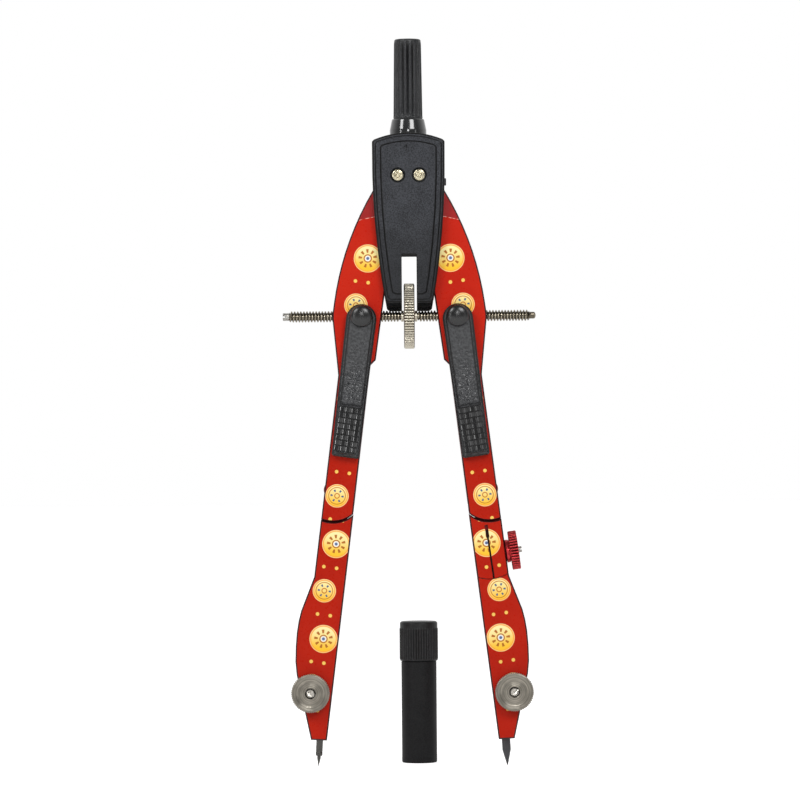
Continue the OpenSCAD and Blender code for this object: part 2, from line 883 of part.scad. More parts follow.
// Four-sided studs, where ribs across the pad meet ribs along it
module pad_studs() {
    translate([0, -lever_front + tray_depth, 0])
        intersection() {
            translate([0, 0, -far])
                linear_extrude(2 * far)
                    mirror([0, 1])
                        polygon(ribs(stud_columns));
            rotate([90, 0, 90])
                translate([0, 0, -far])
                    linear_extrude(2 * far)
                        mirror([1, 0])
                            rotate(90)
                                mirror([0, 1])
                                    polygon(ribs(stud_rows));
        }
}

module lever() {
    pad_centre_z = (pad_top_z - lever_drop + 0.9) / 2;
    pad_half = lever_foot_half - 1.05;
    difference() {
        union() {
            difference() {
                union() {
                    bevelled_plate(lever_outline(0), -lever_rim, -lever_back, 0.4, 0.001);
                    bevelled_plate(lever_outline(0.75), -lever_front, -lever_rim + 0.1, 0.25, 0.001);
                }
                // Groove between the upper plate and the pad, then the pad's tray
                block([-far, -lever_front - cut, pad_top_z], [far, -lever_front + 0.45, pad_top_z + 0.35]);
                translate([lever_foot.x + 0.1, 0, pad_centre_z])
                    rotate([0, pad_lean, 0])
                        block([-pad_half, -lever_front - cut, -stud_rows * stud_pitch / 2 - 0.15],
                            [pad_half, -lever_front + tray_depth, stud_rows * stud_pitch / 2 + 0.15]);
            }
            translate([lever_foot.x + 0.1, 0, pad_centre_z])
                rotate([0, pad_lean, 0])
                    pad_studs();
        }
        pin_y(trunnion, spigot_radius + running, -far, 0);
        // Pocket for the spring's coils, and a groove for its straight tail
        pin_y(trunnion, spring_pocket, -lever_back - 1.35, 0);
        block([trunnion.x - 0.4, -lever_back - 1.35, trunnion.y - 5.2], [trunnion.x + 0.4, 0, trunnion.y]);
    }
}

module lever_left() {
    color(black_plastic) on_leg(-1) lever();
}

module lever_right() {
    color(black_plastic) on_leg(1) lever();
}

// Return spring: its coils, a tail that turns into the leg and a tail along the lever
module lever_spring() {
    at = [trunnion.x, 0, trunnion.y];
    coil = [for (i = [0:spring_turns * spring_steps]) let(
        a = 270 - 360 * i / spring_steps,
        y = -lever_back - 0.3 - spring_pitch * i / spring_steps
    ) at + [spring_radius * cos(a), y, spring_radius * sin(a)]];
    last = coil[len(coil) - 1];
    wire(concat(
        [[at.x + spring_tail.x, -half_leg + 0.15, at.z + spring_tail.y]],
        [[at.x + spring_tail.x, -lever_back - 0.2, at.z + spring_tail.y]],
        [[at.x + 0.12, -lever_back - 0.3, at.z - spring_radius - 0.3]],
        coil,
        [last + [-0.12, 0, -0.1], last + [-0.15, 0, -0.4], last + [0, 0, -2.3]]
    ), spring_wire);
}

module lever_spring_left() {
    color(steel) on_leg(-1) lever_spring();
}

module lever_spring_right() {
    color(steel) on_leg(1) lever_spring();
}

// Spindle group

collar_start = wheel_width / 2 + 0.05;
thread_start = collar_start + collar_length + 0.1;
plain_end = 1.5;

module spindle() {
    color(steel)
        translate([spindle_shift, 0, spindle_z]) {
            pin_x(neck_radius, -thread_start - 0.1, thread_start + 0.1, 0);
            for (side = [-1, 1])
                rotate([0, 0, side > 0 ? 0 : 180]) {
                    pin_x(spindle_diameter / 2, thread_start, spindle_length / 2 - plain_end, 0);
                    pin_x(0.8, spindle_length / 2 - plain_end - 0.1, spindle_length / 2, 0);
                }
        }
}

module centre_wheel() {
    color(steel)
        translate([spindle_shift, 0, spindle_z])
            rotate([0, 90, 0])
                difference() {
                    translate([0, 0, -wheel_width / 2])
                        linear_extrude(wheel_width)
                            polygon(knurled(wheel_diameter / 2, 0.2, 72));
                    cylinder(h = far, r = neck_radius + seat, center = true, $fn = round_fn);
                    // Turned hollows in both faces
                    for (side = [-1, 1])
                        translate([0, 0, side * wheel_width / 2])
                            rotate_extrude($fn = round_fn)
                                polygon([[1.8, -0.25], [wheel_diameter / 2 - 1.3, -0.25],
                                    [wheel_diameter / 2 - 1.1, 0.25], [1.6, 0.25]]);
                }
}

module wheel_collars() {
    color(brass)
        translate([spindle_shift, 0, spindle_z])
            for (side = [-1, 1])
                rotate([0, 0, side > 0 ? 0 : 180])
                    difference() {
                        pin_x(collar_radius, collar_start, collar_start + collar_length, 0);
                        pin_x(neck_radius + running, 0, far, 0);
                    }
}

// Clamp wheels and their screws

module clamp_wheel() {
    at = clamp_axis;
    face = -half_leg - 0.25;
    translate([at.x, face, at.y])
        rotate([90, 0, 0])
            difference() {
                union() {
                    linear_extrude(clamp_wheel_width)
                        polygon(knurled(clamp_diameter / 2, 0.14, 60));
                    translate([0, 0, -0.15])
                        cylinder(h = 0.5, r = 2.2, $fn = round_fn);
                }
                translate([0, 0, -cut])
                    cylinder(h = far, r = clamp_screw + seat, $fn = round_fn);
            }
}

module clamp_wheel_left() {
    color(steel) on_leg(-1) clamp_wheel();
}

module clamp_wheel_right() {
    color(steel) on_leg(1) clamp_wheel();
}

module clamp_stud() {
    tip = half_leg + 0.25 + clamp_wheel_width;
    difference() {
        pin_y(clamp_axis, clamp_screw, -tip - 0.1, half_leg - 0.1);
        // Screwdriver slot
        translate([clamp_axis.x, -tip, clamp_axis.y])
            rotate([0, 35, 0])
                cube([3, 0.7, 0.35], center = true);
    }
}

module clamp_stud_left() {
    color(steel) on_leg(-1) clamp_stud();
}

module clamp_stud_right() {
    color(steel) on_leg(1) clamp_stud();
}

// Points

module needle() {
    r = needle_diameter / 2;
    color(steel)
        on_point(-1)
            rotate_extrude($fn = round_fn)
                polygon([
                    [0, 0], [0.06, 0.05], [0.42, 1.9], [0.42, needle_shoulder - 0.2],
                    [r - 0.15, needle_shoulder - 0.1], [r, needle_shoulder + 0.1],
                    [r, needle_length - 0.3], [r - 0.3, needle_length], [0, needle_length]
                ]);
}

module lead() {
    r = lead_diameter / 2;
    color(graphite)
        on_point(1)
            rotate_extrude($fn = round_fn)
                polygon([[0, 0], [0.12, 0.05], [r, lead_cone], [r, lead_length], [0, lead_length]]);
}

// Lead case

module on_case() {
    translate([case_x, case_back, 0])
        children();
}

module case_tube() {
    inner = case_diameter / 2 - case_wall;
    color(black_plastic)
        on_case()
            difference() {
                rotate_extrude($fn = round_fn)
                    polygon([
                        [0, 0], [case_diameter / 2 - 0.3, 0], [case_diameter / 2, 0.3],
                        [case_diameter / 2, cap_z - 0.1], [case_neck, cap_z - 0.1], [case_neck, case_mouth],
                        [0, case_mouth]
                    ]);
                translate([0, 0, 1])
                    cylinder(h = far, r = inner, $fn = round_fn);
            }
}

module case_cap() {
    color(black_plastic)
        on_case()
            difference() {
                union() {
                    translate([0, 0, cap_z])
                        linear_extrude(cap_height - cap_top_band)
                            polygon(knurled(cap_radius, 0.16, 44));
                    translate([0, 0, cap_z])
                        rotate_extrude($fn = round_fn)
                            polygon(concat(
                                [[0, 0], [cap_radius - 0.15, 0], [cap_radius - 0.15, cap_height - 1]],
                                arc([cap_radius - 0.65, cap_height - 0.5], 0.5, 0, 90, 5),
                                [[0, cap_height]]
                            ));
                }
                translate([0, 0, cap_z - cut])
                    cylinder(h = case_mouth - cap_z + cut + 0.1, r = case_neck + 0.08, $fn = round_fn);
            }
}

module spare_lead() {
    color(graphite)
        on_case()
            translate([case_diameter / 2 - case_wall - lead_diameter / 2 - 0.08, 0, 1.02])
                cylinder(h = 25, r = lead_diameter / 2, $fn = round_fn);
}

front_cover();
rear_cover();
handle_grip();
handle_collar();
handle_stem();
pivot_screws();
pivot_nuts();
upper_leg_left();
upper_leg_right();
knee_pin_left();
knee_pin_right();
lower_leg_left();
lower_leg_right();
pencil_insert();
insert_tenon();
socket_stud();
socket_knob();
nut_barrel_left();
nut_barrel_right();
button_cap_left();
button_cap_right();
half_nut_left();
half_nut_right();
lever_left();
lever_right();
lever_spring_left();
lever_spring_right();
spindle();
centre_wheel();
wheel_collars();
clamp_wheel_left();
clamp_wheel_right();
clamp_stud_left();
clamp_stud_right();
needle();
lead();
case_tube();
case_cap();
spare_lead();
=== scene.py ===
"""Looks of a quick-setting bow compass and its lead case: finishes, threads, knurls, film and studio."""

import itertools
import json
import math
import random

import bmesh
import bpy
from mathutils import Matrix, Vector, noise

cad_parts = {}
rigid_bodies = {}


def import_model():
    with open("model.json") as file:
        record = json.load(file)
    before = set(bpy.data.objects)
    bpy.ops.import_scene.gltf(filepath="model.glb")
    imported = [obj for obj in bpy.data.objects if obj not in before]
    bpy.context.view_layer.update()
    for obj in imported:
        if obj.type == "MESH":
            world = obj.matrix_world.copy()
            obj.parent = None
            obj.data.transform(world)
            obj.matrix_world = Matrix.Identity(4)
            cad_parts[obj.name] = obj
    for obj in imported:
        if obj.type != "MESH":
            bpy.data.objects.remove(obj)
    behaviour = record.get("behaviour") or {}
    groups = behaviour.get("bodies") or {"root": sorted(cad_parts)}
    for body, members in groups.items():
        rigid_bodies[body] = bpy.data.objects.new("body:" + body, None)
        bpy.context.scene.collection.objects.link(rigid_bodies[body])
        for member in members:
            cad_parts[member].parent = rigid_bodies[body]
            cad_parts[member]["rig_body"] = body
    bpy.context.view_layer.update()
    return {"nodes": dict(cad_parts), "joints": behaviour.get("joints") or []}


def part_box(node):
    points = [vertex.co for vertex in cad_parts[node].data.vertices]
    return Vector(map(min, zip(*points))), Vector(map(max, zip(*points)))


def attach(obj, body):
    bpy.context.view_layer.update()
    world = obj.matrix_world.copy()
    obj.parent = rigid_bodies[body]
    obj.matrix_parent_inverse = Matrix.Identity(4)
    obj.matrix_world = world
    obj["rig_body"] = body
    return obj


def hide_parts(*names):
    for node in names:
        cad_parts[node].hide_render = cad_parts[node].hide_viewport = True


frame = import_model()

MM = 0.001
WELD = 0.002 * MM
TAU = 2 * math.pi
LEFT, RIGHT = -1, 1
OUT, UP, FORWARD = (1, 0, 0), (0, 0, 1), (0, -1, 0)
SIDES = {"left": LEFT, "right": RIGHT}
JOINTS = {joint["name"]: joint for joint in frame["joints"]}
NODES = frame["nodes"]

# Places taken from the frame, in metres
LEG_TILT = math.atan2(JOINTS["insert_slide"]["axis"][0], -JOINTS["insert_slide"]["axis"][2])
PIVOT_X = JOINTS["leg_right_swing"]["pos_m"][0]
PIVOT_Z = JOINTS["leg_right_swing"]["pos_m"][2]
LEG_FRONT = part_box("upper_leg_right")[0].y
LEVER_PROUD = 2.4 * MM
PAD_FRONT = LEG_FRONT - LEVER_PROUD
SPINDLE_LOW, SPINDLE_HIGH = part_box("spindle")
SPINDLE_Z = (SPINDLE_LOW.z + SPINDLE_HIGH.z) / 2
SPINDLE_X = (SPINDLE_LOW.x + SPINDLE_HIGH.x) / 2
SPINDLE_AT = (SPINDLE_X, 0, SPINDLE_Z)
CAP_LOW, CAP_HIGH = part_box("case_cap")
CAP_RADIUS = (CAP_HIGH.x - CAP_LOW.x) / 2
CASE_AT = ((CAP_LOW.x + CAP_HIGH.x) / 2, (CAP_LOW.y + CAP_HIGH.y) / 2, 0)
WHEEL_LOW, WHEEL_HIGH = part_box("centre_wheel")
WHEEL_RADIUS = (WHEEL_HIGH.z - WHEEL_LOW.z) / 2

# The printed film: its upper cut on both upper legs, measured square to a line that slopes, and its discs' spacing
FILM_TOP = -8.2 * MM
FILM_SLOPE = math.radians(20)
FILM_DEPTH = 0.035 * MM
FILM_MARGIN = 0.05 * MM
DISC_PITCH = 11.2 * MM

# A lever's pad, in millimetres: its middle on the leg, its lean, half its recess across and down, and its studs
PAD_AT = (3.53, -60.5)
PAD_LEAN = math.radians(-0.917)
PAD_HALF = (2.84, 5.4)
PAD_DEPTH = 0.42
STUD_STEP = (1.34, 1.31)
STUD_COUNT = (4, 8)

# The photograph: metres to a pixel, its size, where the handle's axis and the floor lie in it, and its slight turn
PHOTO_STEP = 0.2345 * MM
PHOTO_SIZE = 800
PHOTO_AXIS = 410.2
PHOTO_FLOOR = 765.7
PHOTO_ROLL = math.radians(-0.45)
CAMERA_AWAY = 1.2

# Strength of the room's light on the camera's side and behind the compass
ROOM_FRONT, ROOM_BACK = 0.2, 0.9


def leg_matrix(side):
    """From a leg's own frame (outward, back, up, with its pivot at the origin) to the row frame."""
    c, s = math.cos(LEG_TILT), math.sin(LEG_TILT)
    return Matrix((
        (side * c, 0, -side * s, side * PIVOT_X),
        (0, 1, 0, 0),
        (s, 0, c, PIVOT_Z),
        (0, 0, 0, 1),
    ))


def in_leg(side, point):
    """A point of the row frame in a leg's own frame."""
    return leg_matrix(side).inverted() @ Vector(point)


def leg_tip(side):
    """Where a leg's point meets the floor."""
    return leg_matrix(side) @ Vector((0, 0, -PIVOT_Z / math.cos(LEG_TILT)))


TIPS = {"needle_slide": leg_tip(LEFT), "lead_slide": leg_tip(RIGHT)}


# ---- materials


def tone(red, green, blue):
    """A colour written as it looks on a screen, from 0 to 255, as linear light."""
    return tuple(((v / 255 + 0.055) / 1.055) ** 2.4 if v > 10 else v / 3294 for v in (red, green, blue)) + (1,)


# Black of the painted shade in grooves and on bevels
PAINTED_SHADE_BLACK = (0.002, 0.002, 0.002, 1)


class Finish:
    """One procedural material: a Principled shader and the nodes that feed it."""

    def __init__(self, name, **fixed):
        self.material = bpy.data.materials.new(name)
        self.material.use_nodes = True
        self.tree = self.material.node_tree
        self.shader = self.tree.nodes["Principled BSDF"]
        for key, value in fixed.items():
            self.shader.inputs[key.replace("_", " ").title().replace("Ior", "IOR")].default_value = value

    def node(self, kind, **settings):
        made = self.tree.nodes.new("ShaderNode" + kind)
        for key, value in settings.items():
            setattr(made, key, value)
        return made

    def feed(self, socket, value):
        """Links a socket or sets a constant."""
        if isinstance(value, bpy.types.NodeSocket):
            self.tree.links.new(value, socket)
        else:
            socket.default_value = value

    def place(self, scale=(1, 1, 1)):
        """Object coordinates, stretched by scale."""
        mapping = self.node("Mapping")
        mapping.inputs["Scale"].default_value = scale
        self.feed(mapping.inputs["Vector"], self.node("TexCoord").outputs["Object"])
        return mapping.outputs["Vector"]

    def math(self, operation, a, b=0.0, c=0.0):
        made = self.node("Math", operation=operation)
        for socket, value in zip(made.inputs, (a, b, c)):
            self.feed(socket, value)
        return made.outputs[0]

    def plus(self, a, b):
        return self.math("ADD", a, b)

    def minus(self, a, b):
        return self.math("SUBTRACT", a, b)

    def times(self, a, b):
        return self.math("MULTIPLY", a, b)

    def vector(self, operation, a, b=(0, 0, 0)):
        made = self.node("VectorMath", operation=operation)
        self.feed(made.inputs[0], a)
        self.feed(made.inputs[1], b)
        return made.outputs["Value" if operation in ("DOT_PRODUCT", "LENGTH", "DISTANCE") else "Vector"]

    def noise(self, size, detail=2.0, roughness=0.5, coordinates=None):
        """Noise whose blots are about size metres across."""
        made = self.node("TexNoise")
        self.feed(made.inputs["Vector"], coordinates or self.place())
        made.inputs["Scale"].default_value = 1 / size
        made.inputs["Detail"].default_value = detail
        made.inputs["Roughness"].default_value = roughness
        return made.outputs["Fac"]

    def cells(self, size, feature="F1"):
        """Rounded cells about size metres across."""
        made = self.node("TexVoronoi", feature=feature)
        self.feed(made.inputs["Vector"], self.place())
        made.inputs["Scale"].default_value = 1 / size
        return made.outputs["Distance"]

    def range(self, value, low, high, to_low=0.0, to_high=1.0):
        """Value mapped smoothly from low..high to to_low..to_high, and held beyond them."""
        made = self.node("MapRange", interpolation_type="SMOOTHSTEP")
        for socket, setting in zip(made.inputs, (value, low, high, to_low, to_high)):
            self.feed(socket, setting)
        return made.outputs[0]

    def mix(self, share, first, second):
        made = self.node("Mix", data_type="RGBA")
        self.feed(made.inputs[0], share)
        self.feed(made.inputs[6], first)
        self.feed(made.inputs[7], second)
        return made.outputs[2]

    def bump(self, height, depth, strength=1.0):
        """Bump of a height from 0 to 1 that stands for depth metres."""
        made = self.node("Bump")
        made.inputs["Distance"].default_value = depth
        made.inputs["Strength"].default_value = strength
        self.feed(made.inputs["Height"], height)
        return made.outputs["Normal"]

    def facing(self):
        """How squarely the surface faces the front or the back, from its own normal in the object."""
        normal = self.node("TexCoord").outputs["Normal"]
        split = self.node("SeparateXYZ")
        self.feed(split.inputs[0], normal)
        return self.math("ABSOLUTE", split.outputs["Y"])

    def crest(self, axis, at, bottom, top):
        """0 at the bottom of a knurl's or thread's grooves round an axis and 1 on its crests and well inside."""
        offset = self.vector("SUBTRACT", self.place(), tuple(at))
        radius = self.vector("LENGTH", self.vector("CROSS_PRODUCT", offset, tuple(axis)))
        return self.range(self.math("ABSOLUTE", self.minus(radius, bottom)), 0.0, top - bottom)

    def colour(self, value):
        self.feed(self.shader.inputs["Base Color"], value)
        return self

    def rough(self, value):
        self.feed(self.shader.inputs["Roughness"], value)
        return self

    def normal(self, value):
        self.feed(self.shader.inputs["Normal"], value)
        return self


def grained_plastic(name, base, light, grain, depth, roughness, gloss=0.3, painted_shade_heights=None, crest=None):
    """Moulded black plastic with a spark-eroded grain.

    Given two heights, it gets painted shade: its tone falls to half from the upper height down to the lower one, and
    its slanting walls and bevels are painted nearly black. crest gives a ribbed piece's axis, a point on it, and the
    radii of its grooves' bottoms and tops, and those bottoms get painted shade nearly to black.
    """
    made = Finish(name, specular_ior_level=gloss)
    fine = made.noise(grain, 3, 0.6)
    pits = made.cells(grain * 1.6)
    height = made.plus(made.times(fine, 0.6), made.times(pits, 0.4))
    cloud = made.noise(4 * MM, 3)
    tint = made.mix(made.range(made.plus(made.times(cloud, 0.3), fine), 0.45, 0.85), base, light)
    # Painted shade: the tone falls to half from the upper height down to the lower one
    if painted_shade_heights:
        split = made.node("SeparateXYZ")
        made.feed(split.inputs[0], made.place())
        half = made.mix(0.5, tint, (0, 0, 0, 1))
        tint = made.mix(made.range(split.outputs["Z"], *painted_shade_heights), half, tint)
    # Painted shade: the grooves' bottoms nearly black
    if crest:
        tint = made.mix(made.crest(*crest), PAINTED_SHADE_BLACK, tint)
    # Painted shade: slanting walls and bevels nearly black
    if painted_shade_heights:
        painted_wall_shade = made.times(made.range(made.facing(), 0.3, 0.5), made.range(made.facing(), 0.9, 0.985, 1.0, 0.0))
        tint = made.mix(painted_wall_shade, tint, PAINTED_SHADE_BLACK)
    made.colour(tint)
    made.rough(made.range(fine, 0.3, 0.7, roughness - 0.07, roughness + 0.09))
    return made.normal(made.bump(height, depth)).material


def smooth_plastic(name, base, roughness, wear, gloss):
    """Polished black plastic with faint handling marks."""
    made = Finish(name, specular_ior_level=gloss, coat_weight=gloss * 0.6, coat_roughness=roughness)
    smear = made.noise(3 * MM, 4, 0.6, made.place((1, 1, 0.4)))
    scratches = made.noise(0.12 * MM, 2, 0.5, made.place((1, 1, 0.06)))
    made.colour(made.mix(made.range(smear, 0.35, 0.75), base, tuple(v * 1.5 for v in base[:3]) + (1,)))
    made.rough(made.range(smear, 0.3, 0.7, roughness, roughness + wear * 3))
    return made.normal(made.bump(scratches, 0.002 * MM, 0.5)).material


def leather_plastic(name, gloss, painted_shade_facing, painted_shade):
    """Levers' black plastic: a fine leather-like grain that grows glossier down the lever, with painted shade where
    its surface turns from the front, on its bevels and the slopes of its creases.
    """
    made = Finish(name, specular_ior_level=gloss, coat_weight=0.1, coat_roughness=0.2)
    split = made.node("SeparateXYZ")
    made.feed(split.inputs[0], made.place())
    down = made.range(split.outputs["Z"], SPINDLE_Z - 4 * MM, SPINDLE_Z - 19 * MM)
    wrinkles = made.cells(0.55 * MM, "SMOOTH_F1")
    creases = made.noise(0.4 * MM, 3, 0.6)
    grain = made.plus(made.times(wrinkles, 0.7), made.times(creases, 0.6))
    flat = made.mix(made.range(grain, 0.35, 0.8), tone(30, 31, 33), tone(60, 61, 63))
    # Painted shade: the colour falls to the shade tone where the surface turns away from the front
    made.colour(made.mix(made.range(made.facing(), painted_shade_facing, 0.99), painted_shade, flat))
    patches = made.noise(2.2 * MM, 3)
    made.rough(made.minus(made.range(patches, 0.3, 0.7, 0.38, 0.52), made.times(down, 0.3)))
    return made.normal(made.bump(grain, 0.06 * MM)).material


def turned_metal(name, base, dark, axis, roughness, anisotropy=0.75, groove=0.16 * MM, centre=None):
    """Metal turned round an axis: fine rings and a highlight drawn out across them."""
    made = Finish(name, metallic=1.0, anisotropic=anisotropy, anisotropic_rotation=0.25)
    tangent = made.node("Tangent", direction_type="RADIAL", axis=axis)
    made.feed(made.shader.inputs["Tangent"], tangent.outputs["Tangent"])
    smear = made.noise(1.5 * MM, 4, 0.6)
    tint = made.mix(made.range(smear, 0.3, 0.75, 0.0, 0.35), base, dark)
    if centre is not None:
        flat = made.vector("MULTIPLY", made.vector("SUBTRACT", made.place(), tuple(centre)),
                           {"X": (0, 1, 1), "Y": (1, 0, 1), "Z": (1, 1, 0)}[axis])
        radius = made.vector("LENGTH", flat)
        ring = made.node("CombineXYZ")
        made.feed(ring.inputs[0], radius)
        rings = made.noise(groove, 3, 0.7, ring.outputs[0])
        tint = made.mix(made.range(rings, 0.35, 0.65, 0.0, 0.8), tint, dark)
        made.normal(made.bump(rings, 0.006 * MM))
        made.rough(made.range(rings, 0.3, 0.7, roughness - 0.06, roughness + 0.1))
    else:
        made.rough(made.range(smear, 0.3, 0.7, roughness - 0.05, roughness + 0.08))
    return made.colour(tint).material


def bright_metal(name, base, dark, roughness, spot=0.5 * MM, crest=None, painted_shade=0.12):
    """Bright metal with slight tarnish in spots and fine drag marks, and painted shade in the grooves that crest
    gives.
    """
    made = Finish(name, metallic=1.0)
    tarnish = made.noise(spot, 4, 0.65)
    drag = made.noise(0.1 * MM, 2, 0.5, made.place((0.15, 1, 1)))
    tint = made.mix(made.range(tarnish, 0.45, 0.75), base, dark)
    # Painted shade: the grooves' bottoms take a share of the dark tone
    if crest:
        tint = made.mix(made.crest(*crest), tuple(v * painted_shade for v in dark[:3]) + (1,), tint)
    made.colour(tint)
    made.rough(made.range(tarnish, 0.35, 0.7, roughness, roughness + 0.15))
    return made.normal(made.bump(drag, 0.0015 * MM)).material


def graphite(name):
    """Pencil lead: dark, with a soft metallic sheen and sanding marks round its cone."""
    made = Finish(name, specular_ior_level=0.6)
    grain = made.noise(0.08 * MM, 3, 0.6, made.place((1, 1, 2.5)))
    made.colour(made.mix(grain, tone(28, 28, 31), tone(58, 59, 62)))
    made.rough(made.range(grain, 0.3, 0.7, 0.3, 0.5))
    return made.normal(made.bump(grain, 0.012 * MM)).material


def lacquer(name, face, side):
    """Bare red lacquer: deep on the sides, with painted shade that turns the bevelled edges nearly black."""
    made = Finish(name, specular_ior_level=0.25, coat_weight=0.1, coat_roughness=0.15)
    facing = made.facing()
    flecks = made.noise(0.2 * MM, 3, 0.6)
    cloud = made.noise(5 * MM, 3)
    flat = made.mix(made.range(cloud, 0.3, 0.7), face, tuple(v * 0.8 for v in face[:3]) + (1,))
    # Painted shade: bevels between the face and the sides nearly black
    edge = tone(44, 8, 8)
    base = made.mix(made.range(facing, 0.1, 0.35), side, edge)
    made.colour(made.mix(made.range(facing, 0.93, 0.99), base, flat))
    made.rough(made.range(flecks, 0.3, 0.7, 0.28, 0.42))
    return made.normal(made.bump(flecks, 0.004 * MM)).material


def printed_film(side):
    """Red film printed with generic discs of rings, rays and dots, with beads between them and a pale upper cut."""
    made = Finish(f"printed_film_{'left' if side < 0 else 'right'}", specular_ior_level=0.1,
                  coat_weight=0.03, coat_roughness=0.1)
    to_leg = leg_matrix(side)
    offset = made.vector("SUBTRACT", made.place(), tuple(to_leg.translation))
    across = made.vector("DOT_PRODUCT", offset, tuple(to_leg.col[0][:3]))
    up = made.vector("DOT_PRODUCT", offset, tuple(to_leg.col[2][:3]))

    # Which disc of the row a point belongs to, counted up from the pivot, and its place from that disc's middle
    count = made.math("DIVIDE", made.plus(up, 3.4 * MM), DISC_PITCH)
    index = made.math("FLOOR", count)
    odd = made.math("ABSOLUTE", made.math("MODULO", index, 2.0))
    share = made.math("FRACT", made.plus(count, 64.0))
    rise = made.times(made.minus(share, 0.5), DISC_PITCH)
    middle = made.range(up, -34 * MM, -60 * MM, 5.0 * MM, 3.45 * MM)
    sway = made.times(made.minus(odd, 0.5), 1.3 * MM)
    shift = made.minus(across, made.plus(middle, sway))
    place = made.node("CombineXYZ")
    made.feed(place.inputs[0], shift)
    made.feed(place.inputs[1], rise)
    far = made.vector("LENGTH", place.outputs[0])
    turn = made.math("ARCTAN2", rise, shift)
    size = made.math("MULTIPLY_ADD", odd, -0.55 * MM, 3.15 * MM)

    def within(value, edge, soft=0.035 * MM):
        """1 where value is below edge."""
        return made.range(value, made.minus(edge, soft), made.plus(edge, soft), 1.0, 0.0)

    def band(value, centre, half):
        """1 where value is within half of centre."""
        return within(made.math("ABSOLUTE", made.minus(value, centre)), half)

    # Red ground, a little uneven as printed, and darker further down the legs
    cloud = made.noise(7 * MM, 3)
    lower = made.range(up, -38 * MM, -52 * MM)
    ground = made.mix(made.range(cloud, 0.3, 0.7), tone(190, 34, 12), tone(182, 28, 8))
    ground = made.mix(lower, ground, made.mix(made.range(cloud, 0.3, 0.7), tone(177, 30, 8), tone(169, 25, 5)))

    # Disc: pale rim, orange edge, yellow field that pales toward its top
    field = made.mix(made.range(rise, -2.6 * MM, 2.8 * MM), tone(244, 192, 52), tone(246, 232, 168))
    field = made.mix(band(far, made.minus(size, 0.15 * MM), 0.11 * MM), field, tone(246, 160, 64))

    # Motifs: rays round a ring on one kind, two rings and beads on the other
    rays = made.times(made.range(made.math("COSINE", made.times(turn, 9.0)), 0.1, 0.5),
                      band(far, 1.75 * MM, 0.42 * MM))
    ring = band(far, 0.85 * MM, 0.13 * MM)
    first = made.math("MAXIMUM", rays, ring)
    beads = made.times(made.range(made.math("COSINE", made.times(turn, 6.0)), 0.45, 0.75),
                       band(far, 1.28 * MM, 0.27 * MM))
    rings = made.math("MAXIMUM", band(far, 1.95 * MM, 0.1 * MM), band(far, 0.55 * MM, 0.12 * MM))
    even = made.minus(1.0, odd)
    field = made.mix(made.times(first, even), field, tone(176, 104, 40))
    field = made.mix(made.times(rings, odd), field, tone(196, 120, 44))
    field = made.mix(made.times(beads, odd), field, tone(78, 92, 128))
    hub = made.times(within(far, 0.66 * MM), even)
    field = made.mix(hub, field, tone(232, 232, 228))
    field = made.mix(made.times(within(far, 0.36 * MM), even), field, tone(96, 110, 150))

    # No disc beside the pivots, at the feet or under a lever's foot
    shown = made.times(made.range(up, -13.2 * MM, -13 * MM, 1.0, 0.0), made.range(up, -120.2 * MM, -120 * MM))
    under_lever = made.math("COMPARE", index, -6.0, 0.5)
    shown = made.times(shown, made.minus(1.0, under_lever))
    halo = made.times(within(far, made.plus(size, 0.12 * MM)), shown)
    ink = made.mix(halo, ground, tone(248, 214, 150))
    ink = made.mix(made.times(within(far, size), shown), ink, field)

    # Beads between the discs
    half = made.minus(DISC_PITCH / 2, made.math("ABSOLUTE", rise))
    aside = made.math("ABSOLUTE", made.minus(across, middle))
    bead = made.node("CombineXYZ")
    made.feed(bead.inputs[0], made.minus(aside, 1.5 * MM))
    made.feed(bead.inputs[1], half)
    small = within(made.vector("LENGTH", bead.outputs[0]), 0.42 * MM)
    clear_of_lever = made.range(up, -16 * MM, -15 * MM, 1.0, 0.0)
    ink = made.mix(made.times(small, clear_of_lever), ink, tone(238, 196, 96))

    # Pale, chipped line where the film is cut at its top
    top = made.plus(made.times(up, math.cos(FILM_SLOPE)), made.times(across, math.sin(FILM_SLOPE)))
    chips = made.noise(0.9 * MM, 3, 0.7)
    worn = made.range(chips, 0.38, 0.55)
    top_line = made.times(band(top, FILM_TOP, 0.16 * MM), worn)
    ink = made.mix(top_line, ink, tone(236, 190, 176))
    made.colour(ink)
    made.rough(made.range(made.noise(0.5 * MM, 3), 0.3, 0.7, 0.26, 0.4))
    return made.normal(made.bump(made.noise(0.7 * MM, 2), 0.004 * MM)).material


# Painted shade: the cover darkens toward its foot, and its bevels and groove walls are nearly black
COVER = grained_plastic("cover_black", tone(26, 27, 31), tone(60, 62, 67), 0.28 * MM, 0.06 * MM, 0.5, 0.25,
                        painted_shade_heights=(PIVOT_Z - 24 * MM, PIVOT_Z - 6 * MM))
# Painted shade darkens the bottoms of the grip's flutes
GRIP = grained_plastic("grip_black", tone(19, 20, 22), tone(46, 47, 49), 0.3 * MM, 0.02 * MM, 0.36, 0.4,
                       crest=(UP, (0, 0, 0), 2.86 * MM, 3.16 * MM))
CASE = grained_plastic("case_black", tone(19, 19, 20), tone(32, 32, 33), 0.3 * MM, 0.006 * MM, 0.5, 0.12)
# Painted shade darkens the grooves between the cap's ribs
CAP = grained_plastic("cap_black", tone(22, 22, 23), tone(44, 44, 45), 0.3 * MM, 0.006 * MM, 0.4, 0.25,
                      crest=(UP, CASE_AT, CAP_RADIUS - 0.2 * MM, CAP_RADIUS - 0.03 * MM))
COLLAR = smooth_plastic("collar_black", tone(22, 23, 24), 0.12, 0.02, 0.8)
BUTTON = smooth_plastic("button_black", tone(8, 8, 9), 0.25, 0.03, 0.5)
